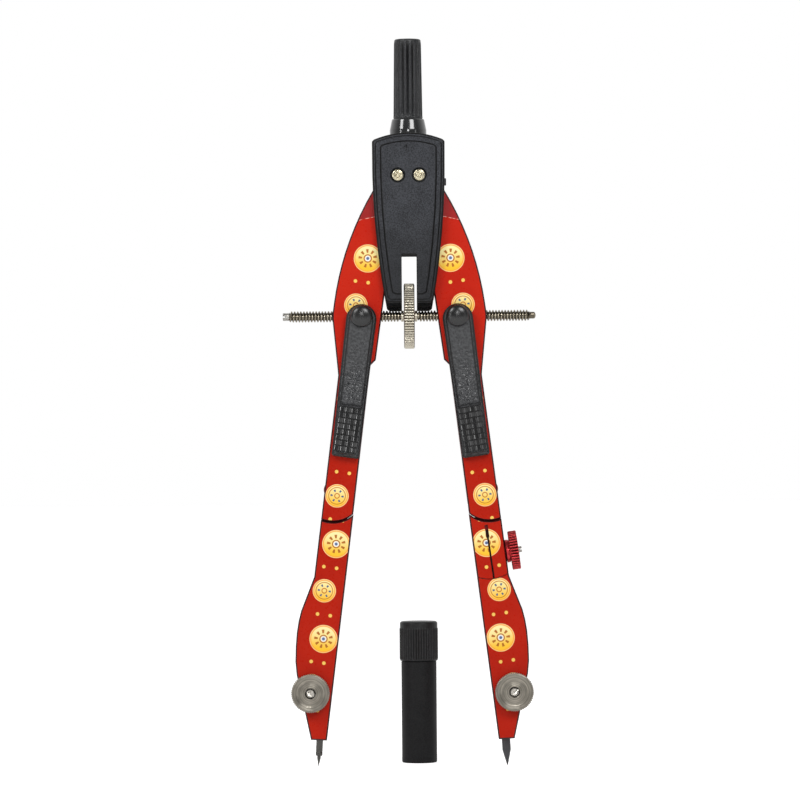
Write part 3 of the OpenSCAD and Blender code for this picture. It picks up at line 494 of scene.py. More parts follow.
# Painted shade on the levers' bevels and on the slopes of the pebbled skin
LEVER = leather_plastic("lever_black", 0.4, 0.9, tone(20, 20, 21))
LEATHER = leather_plastic("leather_black", 0.5, 0.6, tone(14, 14, 15))
STUDDED = smooth_plastic("stud_black", tone(9, 9, 10), 0.12, 0.02, 0.7)
BRASS = bright_metal("screw_brass", tone(202, 194, 168), tone(162, 149, 116), 0.24, 0.3 * MM)
BARREL = bright_metal("barrel_brass", tone(206, 178, 118), tone(150, 120, 70), 0.25)
# Painted shade in the thread's grooves
SPINDLE = bright_metal("spindle_steel", tone(158, 150, 133), tone(106, 98, 84), 0.16, 0.5 * MM,
                       (OUT, SPINDLE_AT, 0.9 * MM, 1.25 * MM), 0.6)
COLLARS = bright_metal("collar_nickel", tone(206, 200, 184), tone(150, 140, 120), 0.24, 0.35 * MM)
# Painted shade in the knurl's grooves
WHEEL = bright_metal("wheel_nickel", tone(202, 196, 180), tone(160, 150, 130), 0.26, 0.35 * MM,
                     (OUT, SPINDLE_AT, WHEEL_RADIUS - 0.24 * MM, WHEEL_RADIUS - 0.06 * MM))
STEEL = bright_metal("pin_steel", tone(176, 174, 168), tone(116, 112, 106), 0.28)
# The tenon's near-black tone is painted shade, so the slit in its socket looks shadowed
SHADED_TENON = bright_metal("tenon_painted_shade", tone(54, 46, 44), tone(34, 30, 30), 0.5)
SPRING = bright_metal("spring_steel", tone(150, 150, 150), tone(96, 94, 92), 0.3, 0.3 * MM)
NEEDLE = turned_metal("needle_steel", tone(90, 89, 86), tone(66, 64, 62), "Z", 0.22, 0.5)
LEAD = graphite("lead_graphite")
# Near-black bevels on bare lacquer are painted shade
RED = lacquer("bare_lacquer", tone(156, 12, 10), tone(130, 10, 9))
# Painted shade in the knob's knurl grooves
KNOB = bright_metal("knob_red", tone(196, 62, 66), tone(128, 34, 38), 0.26, 0.6 * MM,
                    (JOINTS["knob_turn"]["axis"], JOINTS["knob_turn"]["pos_m"], 4.3 * MM, 4.52 * MM))
STUD = bright_metal("stud_steel", tone(196, 192, 184), tone(136, 130, 120), 0.22, 0.4 * MM)
FILMS = {side: printed_film(side) for side in (LEFT, RIGHT)}


# ---- meshes


def as_object(name, bm, material, smooth=32):
    """An object from a bmesh in metres, with smooth faces and sharp edges above an angle in degrees."""
    limit = math.radians(smooth)
    bmesh.ops.remove_doubles(bm, verts=bm.verts, dist=0.0005 * MM)
    bmesh.ops.recalc_face_normals(bm, faces=bm.faces)
    for face in bm.faces:
        face.smooth = True
    for edge in bm.edges:
        edge.smooth = not (edge.is_manifold and edge.calc_face_angle(0) > limit)
    mesh = bpy.data.meshes.new(name)
    bm.to_mesh(mesh)
    bm.free()
    made = bpy.data.objects.new(name, mesh)
    bpy.context.scene.collection.objects.link(made)
    mesh.materials.clear()
    mesh.materials.append(material)
    return made


def face_front(piece):
    """Turns an open sheet's faces to the front, as its largest face says."""
    if max(piece.data.polygons, key=lambda p: p.area).normal.y > 0:
        piece.data.flip_normals()


def applied(piece):
    """The piece with its modifiers applied to its mesh."""
    graph = bpy.context.evaluated_depsgraph_get()
    mesh = bpy.data.meshes.new_from_object(piece.evaluated_get(graph))
    piece.modifiers.clear()
    piece.data = mesh
    return piece


def seat(piece, body, slot, *replaced):
    """Rides the piece on its body and hides the CAD nodes that it stands for; slot is not used."""
    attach(piece, body)
    if replaced:
        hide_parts(*replaced)
    return piece


def along(axis, at):
    """Matrix that puts a shape made round Z, in millimetres, along an axis of the row frame."""
    turn = Vector((0, 0, 1)).rotation_difference(Vector(axis)).to_matrix().to_4x4()
    return Matrix.Translation(Vector(at)) @ turn @ Matrix.Scale(MM, 4)


def lathe(profile, columns, matrix, knurl=None, bm=None):
    """Turns rows of radius and height round Z; a third value is how much of the knurl's depth the row takes."""
    bm = bm or bmesh.new()
    rings = []
    for radius, height, *share in profile:
        if radius <= 0:
            rings.append([bm.verts.new(matrix @ Vector((0, 0, height)))])
            continue
        ring = []
        for k in range(columns):
            depth = share[0] * knurl(k) if share and knurl else 0
            angle = TAU * k / columns
            ring.append(bm.verts.new(matrix @ Vector(
                ((radius - depth) * math.cos(angle), (radius - depth) * math.sin(angle), height))))
        rings.append(ring)
    for low, high in zip(rings, rings[1:]):
        for k in range(columns):
            corners = [low[k % len(low)], low[(k + 1) % len(low)], high[(k + 1) % len(high)], high[k % len(high)]]
            unique = list(dict.fromkeys(corners))
            if len(unique) > 2:
                bm.faces.new(unique)
    return bm


def weave(bm, grid, width):
    """Faces between the points of a grid that has width points to a row."""
    for k in range(len(grid) - width):
        if (k + 1) % width:
            bm.faces.new([grid[k], grid[k + 1], grid[k + width + 1], grid[k + width]])


def grooves(count, columns, depth, sharp):
    """Depth of a knurl's grooves by column; sharp above 1 narrows them."""
    def at(k):
        return depth * (0.5 + 0.5 * math.cos(TAU * count * k / columns)) ** sharp
    return at


def softened(node, width, material, slot, merged=True, cutter=None):
    """A copy of a CAD solid, less the cutter, with its edges broken by a small bevel, which stands for the node."""
    bm = bmesh.new()
    bm.from_mesh(NODES[node].data)
    bmesh.ops.remove_doubles(bm, verts=bm.verts, dist=WELD)
    if merged:
        bmesh.ops.dissolve_limit(bm, angle_limit=math.radians(1.2), verts=bm.verts, edges=bm.edges)
        bmesh.ops.dissolve_degenerate(bm, dist=WELD, edges=bm.edges)
    made = as_object(node + "_shell", bm, material)
    if cutter:
        cut(made, cutter)
    if width:
        bevel = made.modifiers.new("edges", "BEVEL")
        bevel.width = width
        bevel.segments = 2
        bevel.limit_method = "ANGLE"
        bevel.angle_limit = math.radians(30)
        bevel.use_clamp_overlap = False
        bevel.miter_outer = "MITER_ARC"
        bevel.harden_normals = True
        made.modifiers.new("normals", "WEIGHTED_NORMAL").keep_sharp = True
        applied(made)
    return seat(made, NODES[node]["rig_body"], slot, node)


def cut(piece, cutter):
    """Takes the cutter's shape out of the piece."""
    modifier = piece.modifiers.new("cut", "BOOLEAN")
    modifier.operation = "DIFFERENCE"
    modifier.solver = "EXACT"
    modifier.object = cutter
    applied(piece)
    bpy.data.objects.remove(cutter)
    return piece


def rectangle(across, up):
    """Outline of a rectangle from half its sides."""
    return [(-across, -up), (across, -up), (across, up), (-across, up)]


def prism(outline, low, high, matrix, taper=1.0):
    """Prism of an outline in millimetres, its low end scaled by taper."""
    bm = bmesh.new()
    bottom = [bm.verts.new(matrix @ Vector((x * taper, y * taper, low))) for x, y in outline]
    top = [bm.verts.new(matrix @ Vector((x, y, high))) for x, y in outline]
    bm.faces.new(bottom[::-1])
    bm.faces.new(top)
    count = len(outline)
    for k in range(count):
        bm.faces.new([bottom[k], bottom[(k + 1) % count], top[(k + 1) % count], top[k]])
    return bm


# ---- head


def head():
    """Covers, collar, grip, pivot screws and their nuts."""
    softened("front_cover", 0.14 * MM, COVER, "cover_plastic")
    softened("rear_cover", 0.14 * MM, COVER, "cover_plastic")
    collar()
    grip()
    pivot_screws()
    NODES["handle_stem"].data.materials[0] = STEEL
    softened("pivot_nuts", 0.08 * MM, BRASS, "brass")


def collar():
    """Smooth cone under the grip."""
    low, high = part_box("handle_collar")
    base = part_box("front_cover")[1].z
    foot, top = (high.x - low.x) / 2 / MM, 3.83
    height = (high.z - base) / MM
    rows = [(1.62, -0.5), (foot - 0.05, -0.5), (foot, 0.0), (foot, 0.75), (foot - 0.06, 1.0)]
    rows += [(foot - 0.06 + (top - foot + 0.06) * t / 6, 1.0 + (height - 1.35) * t / 6) for t in range(1, 7)]
    rows += [(top - 0.06, height - 0.16), (top - 0.2, height - 0.03), (top - 0.4, height), (1.62, height)]
    bm = lathe(rows, 96, along(UP, (0, 0, base)))
    seat(as_object("handle_collar_turned", bm, COLLAR), "head", "handle_plastic", "handle_collar")


def grip():
    """Fluted grip: round-bottomed flutes that run out under its rounded top."""
    low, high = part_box("handle_grip")
    height = (high.z - low.z) / MM
    foot, top, flutes, per_flute = 3.45, 3.2, 16, 14
    rows = [(1.62, 0), (foot - 0.3, 0), (foot - 0.08, 0.08), (foot, 0.3), (foot, 0.55, 0.25)]
    straight = [0.75, 1.1] + [1.1 + (height - 3.4) * t / 12 for t in range(1, 13)]
    rows += [(foot + (top - foot) * z / height, z, 0.75 if z < 1 else 1.0) for z in straight]
    rows += [(top + 0.02, height - 1.75, 0.93), (top + 0.01, height - 1.3, 0.7), (top - 0.02, height - 0.95, 0.35)]
    rows += [(top - 0.08, height - 0.62, 0.1)]
    for step in range(1, 6):
        angle = math.pi / 2 * step / 5
        rows.append((top - 0.62 + 0.54 * math.cos(angle), height - 0.5 + 0.5 * math.sin(angle)))
    rows += [(1.4, height), (0, height)]
    knurl = grooves(flutes, flutes * per_flute, 0.42, 2.2)
    bm = lathe(rows, flutes * per_flute, along(UP, (0, 0, low.z)), knurl)
    seat(as_object("handle_grip_fluted", bm, GRIP, 50), "head", "handle_plastic", "handle_grip")


def pivot_screws():
    """Two domed screws with a tapered cross recess."""
    low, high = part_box("pivot_screws")
    bm = bmesh.new()
    for side in SIDES.values():
        matrix = along(FORWARD, (side * PIVOT_X, low.y, PIVOT_Z))
        rows = [(0, -(high.y - low.y) / MM), (1.0, -(high.y - low.y) / MM), (1.0, -0.6), (1.34, -0.6)]
        rows += [(1.4 * math.cos(a), -0.34 + 0.3 * math.sin(a)) for a in (0, 0.35, 0.7, 1.0, 1.25, 1.45)]
        rows += [(0, -0.035)]
        lathe(rows, 48, matrix, bm=bm)
    screws = as_object("pivot_screws_cross", bm, BRASS)
    arm, half = 0.92, 0.24
    outline = []
    for quarter in range(4):
        for x, y in ((arm, -half), (arm, half), (half, half)):
            angle = quarter * math.pi / 2
            outline.append((x * math.cos(angle) - y * math.sin(angle), x * math.sin(angle) + y * math.cos(angle)))
    for side in SIDES.values():
        turned = Matrix.Rotation(math.radians(20 + side * 12), 4, "Z")
        matrix = along(FORWARD, (side * PIVOT_X, low.y, PIVOT_Z)) @ turned
        cut(screws, as_object("recess", prism(outline, -0.5, 0.1, matrix, 0.55), BRASS))
    seat(screws, "head", "brass", "pivot_screws")


# ---- legs


def film(node, side, cut_top=False):
    """Thin printed film on the front face of a leg's piece, cut back from its edges and holes."""
    bm = bmesh.new()
    bm.from_mesh(NODES[node].data)
    bmesh.ops.remove_doubles(bm, verts=bm.verts, dist=WELD)
    back = [f for f in bm.faces if not (f.normal.y < -0.999 and f.calc_center_median().y < LEG_FRONT + 0.01 * MM)]
    bmesh.ops.delete(bm, geom=back, context="FACES")
    if cut_top:
        normal = leg_matrix(side).to_3x3() @ Vector((math.sin(FILM_SLOPE), 0, math.cos(FILM_SLOPE)))
        point = leg_matrix(side) @ Vector((0, 0, FILM_TOP / math.cos(FILM_SLOPE)))
        bmesh.ops.bisect_plane(bm, geom=bm.verts[:] + bm.edges[:] + bm.faces[:], plane_co=point,
                               plane_no=normal, clear_outer=True)
    ring = bmesh.ops.inset_region(bm, faces=bm.faces[:], thickness=FILM_MARGIN, use_boundary=True)["faces"]
    bmesh.ops.delete(bm, geom=ring, context="FACES")
    faces = bm.faces[:]
    grown = bmesh.ops.extrude_face_region(bm, geom=faces)["geom"]
    for vert in (g for g in grown if isinstance(g, bmesh.types.BMVert)):
        vert.co.y -= FILM_DEPTH
    bmesh.ops.delete(bm, geom=faces, context="FACES_ONLY")
    made = as_object(node + "_film", bm, FILMS[side])
    face_front(made)
    return seat(made, NODES[node]["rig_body"], "red_lacquer")


def legs():
    """Both legs, their films and pins, and the pencil insert."""
    for name, side in SIDES.items():
        softened(f"upper_leg_{name}", 0, RED, "red_lacquer", False)
        softened(f"lower_leg_{name}", 0.07 * MM, RED, "red_lacquer")
        film(f"upper_leg_{name}", side, True)
        film(f"lower_leg_{name}", side)
        softened(f"knee_pin_{name}", 0.08 * MM, STEEL, "turned_steel")
    softened("pencil_insert", 0.07 * MM, RED, "red_lacquer")
    film("pencil_insert", RIGHT)
    # Painted shade: the tenon's dark tone shows as shadow in the slit
    softened("insert_tenon", 0.08 * MM, SHADED_TENON, "turned_steel")


def socket_knob():
    """Knurled red knob, its hub and the slotted end of its stud."""
    axis = Vector(JOINTS["knob_turn"]["axis"])
    at = Vector(JOINTS["knob_turn"]["pos_m"])
    ridges = 40
    columns = ridges * 8
    knurl = grooves(ridges, columns, 0.26, 1.6)
    radius, thick, edge, bore = 4.55, 2.0, 0.22, 0.78
    quarter = [math.pi / 2 * step / 3 for step in range(4)]
    rows = [(bore, 0)]
    rows += [(radius - edge + edge * math.sin(a), edge - edge * math.cos(a), k / 3) for k, a in enumerate(quarter)]
    rows += [(radius - edge + edge * math.cos(a), thick - edge + edge * math.sin(a), 1 - k / 3)
             for k, a in enumerate(quarter[:3])]
    rows += [(4.0, thick), (3.3, 1.82), (1.5, 1.82), (1.3, thick), (bore, thick)]
    bm = lathe(rows, columns, along(axis, at), knurl)
    hub_foot = (in_leg(RIGHT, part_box("socket_knob")[0]).x - in_leg(RIGHT, at).x) / MM
    low = max(hub_foot, -1.0)
    hub = [(bore, low), (2.5, low), (2.7, low + 0.15), (2.7, -0.25), (2.5, -0.12), (2.5, 0.02), (bore, 0.02)]
    lathe(hub, 96, along(axis, at), bm=bm)
    seat(as_object("socket_knob_knurled", bm, KNOB, 40), "knob", "knob_metal", "socket_knob")
    softened("socket_stud", 0.06 * MM, STEEL, "turned_steel")


# ---- levers and barrels


def levers():
    """Both levers with their pads and grain, and the barrels, half nuts and springs under them."""
    for name, side in SIDES.items():
        recess = prism(rectangle(*PAD_HALF), -PAD_DEPTH, 0.6,
                       pad_matrix(side) @ Matrix.Rotation(math.radians(90), 4, "X"))
        softened(f"lever_{name}", 0.035 * MM, LEVER, "lever_plastic", False, as_object("recess", recess, STUDDED))
        studs(name, side)
        leather(name, side)
        softened(f"nut_barrel_{name}", 0.1 * MM, BARREL, "brass")
        softened(f"half_nut_{name}", 0.06 * MM, BARREL, "brass")
        NODES[f"lever_spring_{name}"].data.materials[0] = SPRING
        button(name)


def pad_matrix(side):
    """From a pad's own frame (across, back, up, in millimetres, its middle on the lever's face) to the row frame."""
    at = Matrix.Translation((PAD_AT[0] * MM, PAD_FRONT, PAD_AT[1] * MM))
    return leg_matrix(side) @ at @ Matrix.Rotation(PAD_LEAN, 4, "Y") @ Matrix.Scale(MM, 4)


def studs(name, side):
    """The relief of a lever's pad: flat-topped studs with sloping sides, each a little uneven."""
    rng = random.Random(11 + side)
    pad = pad_matrix(side)
    half, tall, slope = 0.6, 0.5, math.tan(math.radians(24))
    spread = [math.sin(math.pi / 2 * (step / 6 - 1)) for step in range(13)]
    bm = bmesh.new()
    for row, column in itertools.product(range(STUD_COUNT[1]), range(STUD_COUNT[0])):
        cell = [(column - STUD_COUNT[0] / 2) * STUD_STEP[0], (row - STUD_COUNT[1] / 2) * STUD_STEP[1]]
        at = [edge + step / 2 + rng.uniform(-0.015, 0.015) for edge, step in zip(cell, STUD_STEP)]
        height = 0.58 + rng.uniform(-0.02, 0.02)
        lean_u, lean_v = rng.uniform(-0.03, 0.03), rng.uniform(-0.03, 0.03)
        across = [cell[0]] + [at[0] + half * step for step in spread] + [cell[0] + STUD_STEP[0]]
        down = [cell[1]] + [at[1] + tall * step for step in spread] + [cell[1] + STUD_STEP[1]]
        grid = []
        for x, z in itertools.product(across, down):
            u, v = (x - at[0]) / half, (z - at[1]) / tall
            rise = height - slope * half * max(0, abs(u) - 0.55) + half * (lean_u * u + lean_v * v)
            if max(abs(u), abs(v)) > 0.99:
                rise = 0.03
            grid.append(bm.verts.new(pad @ Vector((x, PAD_DEPTH - rise, z))))
        weave(bm, grid, len(down))
    made = as_object(f"lever_{name}_studs", bm, STUDDED, 15)
    seat(made, f"lever_{name}", "lever_plastic")


def leather(name, side):
    """Pebbled skin of a lever's panel, strongest above its pad and smooth at the top."""
    pad = pad_matrix(side)
    foot, top, step = 6.25, 24.0, 0.11
    rows, columns = int((top - foot) / step), 42
    bm = bmesh.new()
    grid = []
    for row in range(rows + 1):
        w = foot + (top - foot) * row / rows
        inner, outer = -2.0 + 0.0175 * (w - 6.5), 2.4 + 0.046 * (w - 6.5)
        down = min(1.0, max(0.0, (21.0 - w) / 12.0))
        for column in range(columns + 1):
            u = inner + (outer - inner) * column / columns
            near = noise.voronoi(Vector((u / 0.8, w / 0.8, 3.1 * side)))[0]
            pebble = min(1.0, (near[1] - near[0]) / 0.5) + 0.35 * noise.noise(Vector((u / 0.35, w / 0.35, side)))
            edge = min(1.0, min(u - inner, outer - u, w - foot, top - w) / 0.3)
            grid.append(bm.verts.new(pad @ Vector((u, -0.012 - 0.15 * pebble * (0.1 + 0.9 * down) * edge, w))))
    weave(bm, grid, columns + 1)
    made = as_object(f"lever_{name}_leather", bm, LEATHER, 80)
    face_front(made)
    seat(made, f"lever_{name}", "lever_plastic")


def button(name):
    """Domed glossy cap of a nut barrel, with a fine step round its foot."""
    low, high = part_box(f"button_cap_{name}")
    radius = (high.x - low.x) / 2 / MM
    height = (high.y - low.y) / MM
    rows = [(0, 0), (radius - 0.14, 0), (radius - 0.03, 0.04), (radius, 0.14), (radius - 0.02, 0.22)]
    steps = 14
    rows += [((radius - 0.06) * math.cos(math.pi / 2 * k / steps) ** 0.92,
              0.26 + (height - 0.26) * math.sin(math.pi / 2 * k / steps)) for k in range(steps)]
    rows.append((0, height))
    centre = ((low.x + high.x) / 2, high.y, (low.z + high.z) / 2)
    bm = lathe(rows, 72, along(FORWARD, centre))
    seat(as_object(f"button_cap_{name}_dome", bm, BUTTON), f"barrel_{name}", "button_plastic", f"button_cap_{name}")


# ---- spindle group


def thread(bm, start, end, core, crest, pitch):
    """Trapezoid thread round X from start to end, in millimetres from the spindle's middle."""
    columns = 24
    matrix = Matrix.Translation(SPINDLE_AT) @ Matrix.Scale(MM, 4)
    shape = ((0.0, core), (0.12, core), (0.34, crest), (0.66, crest), (0.88, core))
    span = abs(end - start)
    direction = 1 if end > start else -1
    turns = int(span / pitch) + 3
    rows = [(turn + place, radius) for turn in range(-2, turns) for place, radius in shape]

    def at(row, column):
        place, radius = rows[row]
        run = (place + column / columns) * pitch
        if run <= 0 or run >= span:
            run, radius = min(max(run, 0), span), core
        elif run < 0.5 * pitch or run > span - 0.5 * pitch:
            radius = core + (radius - core) * 0.55
        angle = direction * TAU * column / columns
        return matrix @ Vector((start + direction * run, radius * math.sin(angle), radius * math.cos(angle)))

    per_turn = len(shape)
    grid = [[bm.verts.new(at(row, column)) for column in range(columns)] for row in range(len(rows))]
    for row in range(len(rows) - 1):
        for column in range(columns):
            # The last column joins the first one of the next turn
            last = column == columns - 1
            near, far_row = (row + per_turn, row + 1 + per_turn) if last else (row, row + 1)
            if far_row >= len(rows):
                continue
            next_column = 0 if last else column + 1
            corners = [grid[row][column], grid[row + 1][column], grid[far_row][next_column], grid[near][next_column]]
            bm.faces.new(corners)


def spindle():
    """Spindle with a left-hand and a right-hand thread and plain ends, the left one slotted."""
    half = (SPINDLE_HIGH.x - SPINDLE_LOW.x) / 2 / MM
    core, crest, pitch = 0.86, 1.3, 0.72
    inner, plain = 2.0, 1.5
    bm = bmesh.new()
    for end in (RIGHT, LEFT):
        thread(bm, end * inner, end * (half - plain), core, crest, pitch)
    lathe([(0.75, -inner - 0.05), (0.75, inner + 0.05)], 48, along(OUT, SPINDLE_AT), bm=bm)
    for end in (LEFT, RIGHT):
        lathe([(0.75, inner - 0.05), (core, inner)], 24, along((end, 0, 0), SPINDLE_AT), bm=bm)
    nose = [(core, half - plain), (0.8, half - plain + 0.08), (0.8, half - 0.45)]
    nose += [(0.8 * math.cos(a), half - 0.45 + 0.45 * math.sin(a)) for a in (0.35, 0.7, 1.05, 1.35)]
    lathe(nose + [(0, half)], 24, along(OUT, SPINDLE_AT), bm=bm)
    rod = as_object("spindle_threaded", bm, SPINDLE, 40)
    seat(rod, "spindle", "spindle_steel", "spindle")
    plain_end = [(0, half - plain), (core, half - plain), (0.9, half - plain + 0.1), (0.9, half - 0.12),
                 (0.8, half), (0, half)]
    matrix = along((-1, 0, 0), SPINDLE_AT)
    slotted = as_object("spindle_slotted_end", lathe(plain_end, 32, matrix), STEEL)
    slot = prism(rectangle(1, 0.15), half - 0.6, half + 0.1, matrix @ Matrix.Rotation(math.radians(90), 4, "Z"))
    cut(slotted, as_object("slot", slot, STEEL))
    seat(slotted, "spindle", "spindle_steel")
    centre_wheel()
    softened("wheel_collars", 0.06 * MM, COLLARS, "brass")


def centre_wheel():
    """Straight-knurled thumb wheel with turned hollows in both faces."""
    radius, half = WHEEL_RADIUS / MM, (WHEEL_HIGH.x - WHEEL_LOW.x) / 2 / MM
    ridges = 72
    columns = ridges * 8
    knurl = grooves(ridges, columns, 0.24, 3)
    side = [(0.78, half), (1.6, half), (1.8, half - 0.22), (radius - 1.3, half - 0.22),
            (radius - 1.1, half), (radius - 0.42, half), (radius - 0.3, half - 0.05, 0.4),
            (radius - 0.1, half - 0.12, 1), (radius, half - 0.24, 1)]
    rows = [(r, -h, *share) for r, h, *share in side] + [(radius, 0, 1)] + side[::-1]
    bm = lathe(rows, columns, along(OUT, SPINDLE_AT), knurl)
    made = as_object("centre_wheel_knurled", bm, WHEEL, 24)
    seat(made, "spindle", "spindle_steel", "centre_wheel")


# ---- points


def clamp(name, side):
    """Turned clamp wheel with a knurled rim, and its slotted screw."""
    low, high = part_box(f"clamp_wheel_{name}")
    at = Vector(((low.x + high.x) / 2, LEG_FRONT, (low.z + high.z) / 2))
    radius = (high.x - low.x) / 2 / MM
    back, front = -(high.y - LEG_FRONT) / MM, (LEG_FRONT - low.y) / MM
    ridges = 60
    columns = ridges * 8
    knurl = grooves(ridges, columns, 0.2, 1.5)
    rows = [(1.24, back), (2.2, back), (2.2, back + 0.15), (radius - 0.3, back + 0.15),
            (radius - 0.1, back + 0.2, 0.7), (radius, back + 0.32, 1), (radius, front - 0.3, 1),
            (radius - 0.1, front - 0.14, 0.7), (radius - 0.32, front - 0.05, 0.1), (radius - 0.45, front - 0.02),
            (radius - 0.6, front - 0.05), (3.1, front - 0.05), (3.05, front - 0.07), (2.9, front - 0.07),
            (2.85, front - 0.03), (1.75, front - 0.03), (1.6, front), (1.34, front), (1.24, front - 0.08)]
    bm = lathe(rows, columns, along(FORWARD, at), knurl)
    metal = turned_metal(f"turned_steel_{name}", tone(166, 160, 148), tone(98, 94, 87), "Y", 0.34, 0.8, 0.3 * MM, at)
    wheel = as_object(f"clamp_wheel_{name}_knurled", bm, metal, 30)
    seat(wheel, f"clamp_{name}", "turned_steel", f"clamp_wheel_{name}")

    stud_low, stud_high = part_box(f"clamp_stud_{name}")
    length = (stud_high.y - stud_low.y) / MM
    head_rows = [(0, -length), (1.2, -length), (1.2, -0.42), (1.14, -0.34), (0.78, 0), (0, 0)]
    place = along(FORWARD, (at.x, stud_low.y, at.z))
    stud = as_object(f"clamp_stud_{name}_slotted", lathe(head_rows, 48, place), STUD)
    turn = Matrix.Rotation(math.radians(35 * side), 4, "Z")
    slot = prism(rectangle(1.5, 0.17), -0.4, 0.1, place @ turn)
    cut(stud, as_object("slot", slot, STUD))
    seat(stud, f"clamp_{name}", "turned_steel", f"clamp_stud_{name}")


def point_matrix(joint):
    """Up the shank of a point from its tip, in millimetres, as its slide's axis says."""
    return along(-Vector(JOINTS[joint]["axis"]), TIPS[joint])


def needle():
    """Needle with its shoulder and a fine point."""
    rows = [(0, 0), (0.05, 0.05), (0.12, 0.5), (0.27, 1.2), (0.4, 1.85), (0.42, 2.0),
            (0.42, 2.35), (0.46, 2.42), (0.62, 2.48), (0.74, 2.56), (0.8, 2.72), (0.8, 3.3),
            (0.77, 3.36), (0.77, 3.5), (0.8, 3.56), (0.8, 16.7), (0.5, 17), (0, 17)]
    bm = lathe(rows, 48, point_matrix("needle_slide"))
    seat(as_object("needle_turned", bm, NEEDLE), "needle", "turned_steel", "needle")


def lead():
    """Lead with a sharpened cone, faintly faceted by the sandpaper."""
    rng = random.Random(7)
    waver = [rng.uniform(0, 0.035) for _ in range(48)]
    rows = [(0, 0), (0.09, 0.03), (0.2, 0.3, 1)]
    rows += [(0.12 + 0.88 * t / 8, 0.05 + 3.55 * t / 8, 1 if t < 8 else 0) for t in range(1, 9)]
    rows += [(1.0, 3.9), (1.0, 14), (0, 14)]
    bm = lathe(rows, 48, point_matrix("lead_slide"), lambda k: waver[k // 3 * 3])
    seat(as_object("lead_sharpened", bm, LEAD), "lead", "graphite", "lead")


# ---- lead case


def lead_case():
    """Turned tube with a thinner neck, and the ribbed cap that is pushed on to it."""
    low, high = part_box("case_tube")
    radius, mouth = (high.x - low.x) / 2 / MM, high.z / MM
    join, top, outer = CAP_LOW.z / MM, CAP_HIGH.z / MM, CAP_RADIUS / MM
    neck = radius - 0.35
    tube = [(0, 0), (radius - 0.45, 0), (radius - 0.3, 0.03), (radius - 0.08, 0.14), (radius, 0.38),
            (radius, join * 0.5), (radius, join - 0.3), (radius - 0.06, join - 0.12), (neck, join - 0.1),
            (neck, mouth - 0.1), (neck - 0.1, mouth), (radius - 0.7, mouth), (radius - 0.7, 1.0), (0, 1.0)]
    bm = lathe(tube, 96, along(UP, CASE_AT))
    seat(as_object("case_tube_turned", bm, CASE), "case", "case_plastic", "case_tube")

    ribs = 44
    columns = ribs * 6
    bore = neck + 0.08
    rows = [(bore, join), (outer - 0.22, join), (outer - 0.1, join + 0.08), (outer - 0.1, join + 0.3),
            (outer - 0.02, join + 0.42, 0.6), (outer, join + 0.6, 1), (outer, join + 4, 1),
            (outer, top - 1.9, 1), (outer - 0.02, top - 1.68, 0.6), (outer - 0.12, top - 1.5),
            (outer - 0.12, top - 0.5), (outer - 0.2, top - 0.24), (outer - 0.38, top - 0.07),
            (outer - 0.62, top), (0, top)]
    bm = lathe(rows, columns, along(UP, CASE_AT), grooves(ribs, columns, 0.2, 1.4))
    lathe([(bore, join), (bore, mouth + 0.1), (0, mouth + 0.1)], columns, along(UP, CASE_AT), bm=bm)
    seat(as_object("case_cap_ribbed", bm, CAP, 45), "case_cap", "case_plastic", "case_cap")
    NODES["spare_lead"].data.materials[0] = LEAD


# ---- studio


def camera():
    """A long lens straight on to the compass, as in the photograph."""
    data = bpy.data.cameras.new("camera")
    view = bpy.data.objects.new("camera", data)
    bpy.context.scene.collection.objects.link(view)
    data.sensor_width = 36
    data.lens = data.sensor_width * CAMERA_AWAY / (PHOTO_SIZE * PHOTO_STEP)
    data.clip_start, data.clip_end = 0.05, 20
    centre_x = (PHOTO_SIZE / 2 - PHOTO_AXIS) * PHOTO_STEP
    centre_z = (PHOTO_FLOOR - PHOTO_SIZE / 2) * PHOTO_STEP
    view.matrix_world = (Matrix.Translation((centre_x, -CAMERA_AWAY, centre_z))
                         @ Matrix.Rotation(math.pi / 2, 4, "X") @ Matrix.Rotation(PHOTO_ROLL, 4, "Z"))
    bpy.context.scene.camera = view


def softbox(name, at, width, height, share):
    """An area lamp that gives share of a full, plain exposure to a surface that faces it at the compass."""
    middle = Vector((0, 0, 0.085))
    data = bpy.data.lights.new(name, "AREA")
    data.shape = "RECTANGLE"
    data.size, data.size_y = width, height
    distance = (Vector(at) - middle).length
    data.energy = share * math.pi ** 2 * distance ** 2
    lamp = bpy.data.objects.new(name, data)
    bpy.context.scene.collection.objects.link(lamp)
    lamp.matrix_world = (Matrix.Translation(at)
                         @ (Vector(at) - middle).to_track_quat("Z", "Y").to_matrix().to_4x4())
    lamp.visible_camera = False


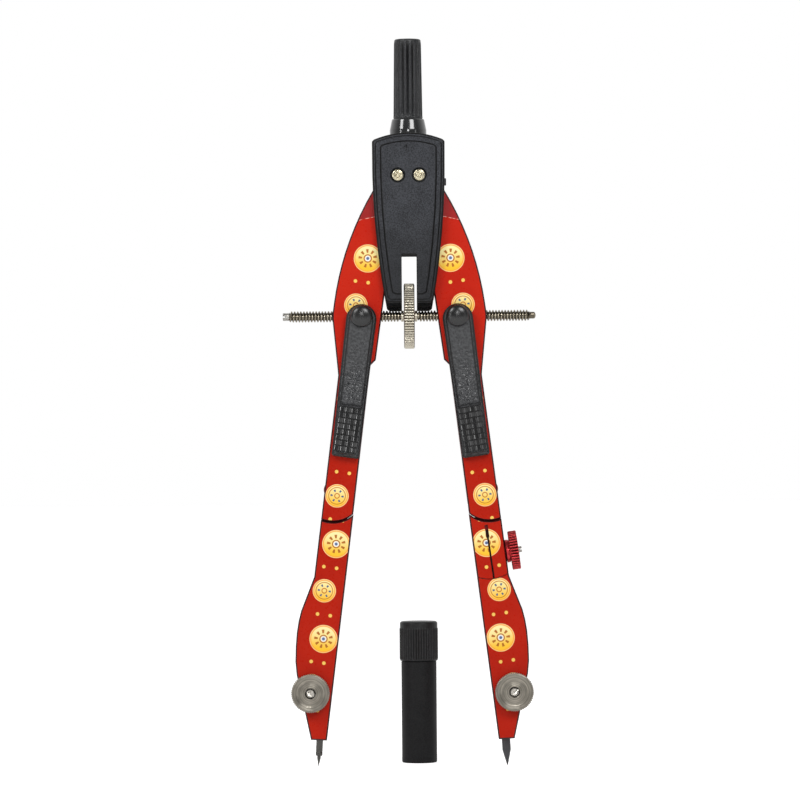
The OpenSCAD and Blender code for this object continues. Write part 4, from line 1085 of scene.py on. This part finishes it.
def world():
    """White to the camera and behind the compass, and a dimmer room on the camera's side."""
    made = bpy.data.worlds.new("studio")
    bpy.context.scene.world = made
    made.use_nodes = True
    tree = made.node_tree
    background = tree.nodes["Background"]
    place = tree.nodes.new("ShaderNodeTexCoord")
    split = tree.nodes.new("ShaderNodeSeparateXYZ")
    room = tree.nodes.new("ShaderNodeMapRange")
    room.interpolation_type = "SMOOTHSTEP"
    for socket, value in zip(room.inputs[1:5], (-0.5, 0.5, ROOM_FRONT, ROOM_BACK)):
        socket.default_value = value
    path = tree.nodes.new("ShaderNodeLightPath")
    strength = tree.nodes.new("ShaderNodeMix")
    strength.inputs[3].default_value = 1.0
    tree.links.new(place.outputs["Generated"], split.inputs[0])
    tree.links.new(split.outputs["Y"], room.inputs[0])
    tree.links.new(path.outputs["Is Camera Ray"], strength.inputs[0])
    tree.links.new(room.outputs[0], strength.inputs[2])
    tree.links.new(strength.outputs[0], background.inputs["Strength"])
    background.inputs["Color"].default_value = (1, 1, 1, 1)


def floor():
    """Plain white floor that keeps the compass's shadow."""
    bm = bmesh.new()
    bmesh.ops.create_grid(bm, x_segments=8, y_segments=8, size=3)
    made = Finish("floor_white", roughness=0.6, specular_ior_level=0.2)
    paper = made.noise(2 * MM, 3)
    made.colour(made.mix(paper, (0.8, 0.8, 0.8, 1), (0.84, 0.84, 0.84, 1)))
    path = made.node("LightPath")
    mirrored = made.math("MAXIMUM", path.outputs["Is Glossy Ray"], path.outputs["Is Transmission Ray"])
    made.shader.inputs["Emission Color"].default_value = (1, 1, 1, 1)
    seen = made.times(path.outputs["Is Camera Ray"], 0.55)
    made.feed(made.shader.inputs["Emission Strength"], made.math("MULTIPLY_ADD", mirrored, 0.2, seen))
    as_object("floor", bm, made.material)


def studio():
    """Camera, room, floor and soft lamps: a low key and strips for upright metal, and two boxes overhead."""
    camera()
    world()
    floor()
    softbox("key", (0.0, -0.87, 0.32), 0.1, 0.16, 0.09)
    softbox("left", (-0.52, -0.5, 0.63), 0.26, 0.34, 0.34)
    softbox("right", (0.33, -0.66, 0.62), 0.36, 0.34, 0.42)
    softbox("left_strip", (-0.62, -0.56, 0.1), 0.05, 0.5, 0.12)
    softbox("right_strip", (0.62, -0.56, 0.1), 0.08, 0.5, 0.03)
    bpy.context.scene.view_settings.view_transform = "Standard"


head()
legs()
socket_knob()
levers()
spindle()
for name, side in SIDES.items():
    clamp(name, side)
needle()
lead()
lead_case()
studio()
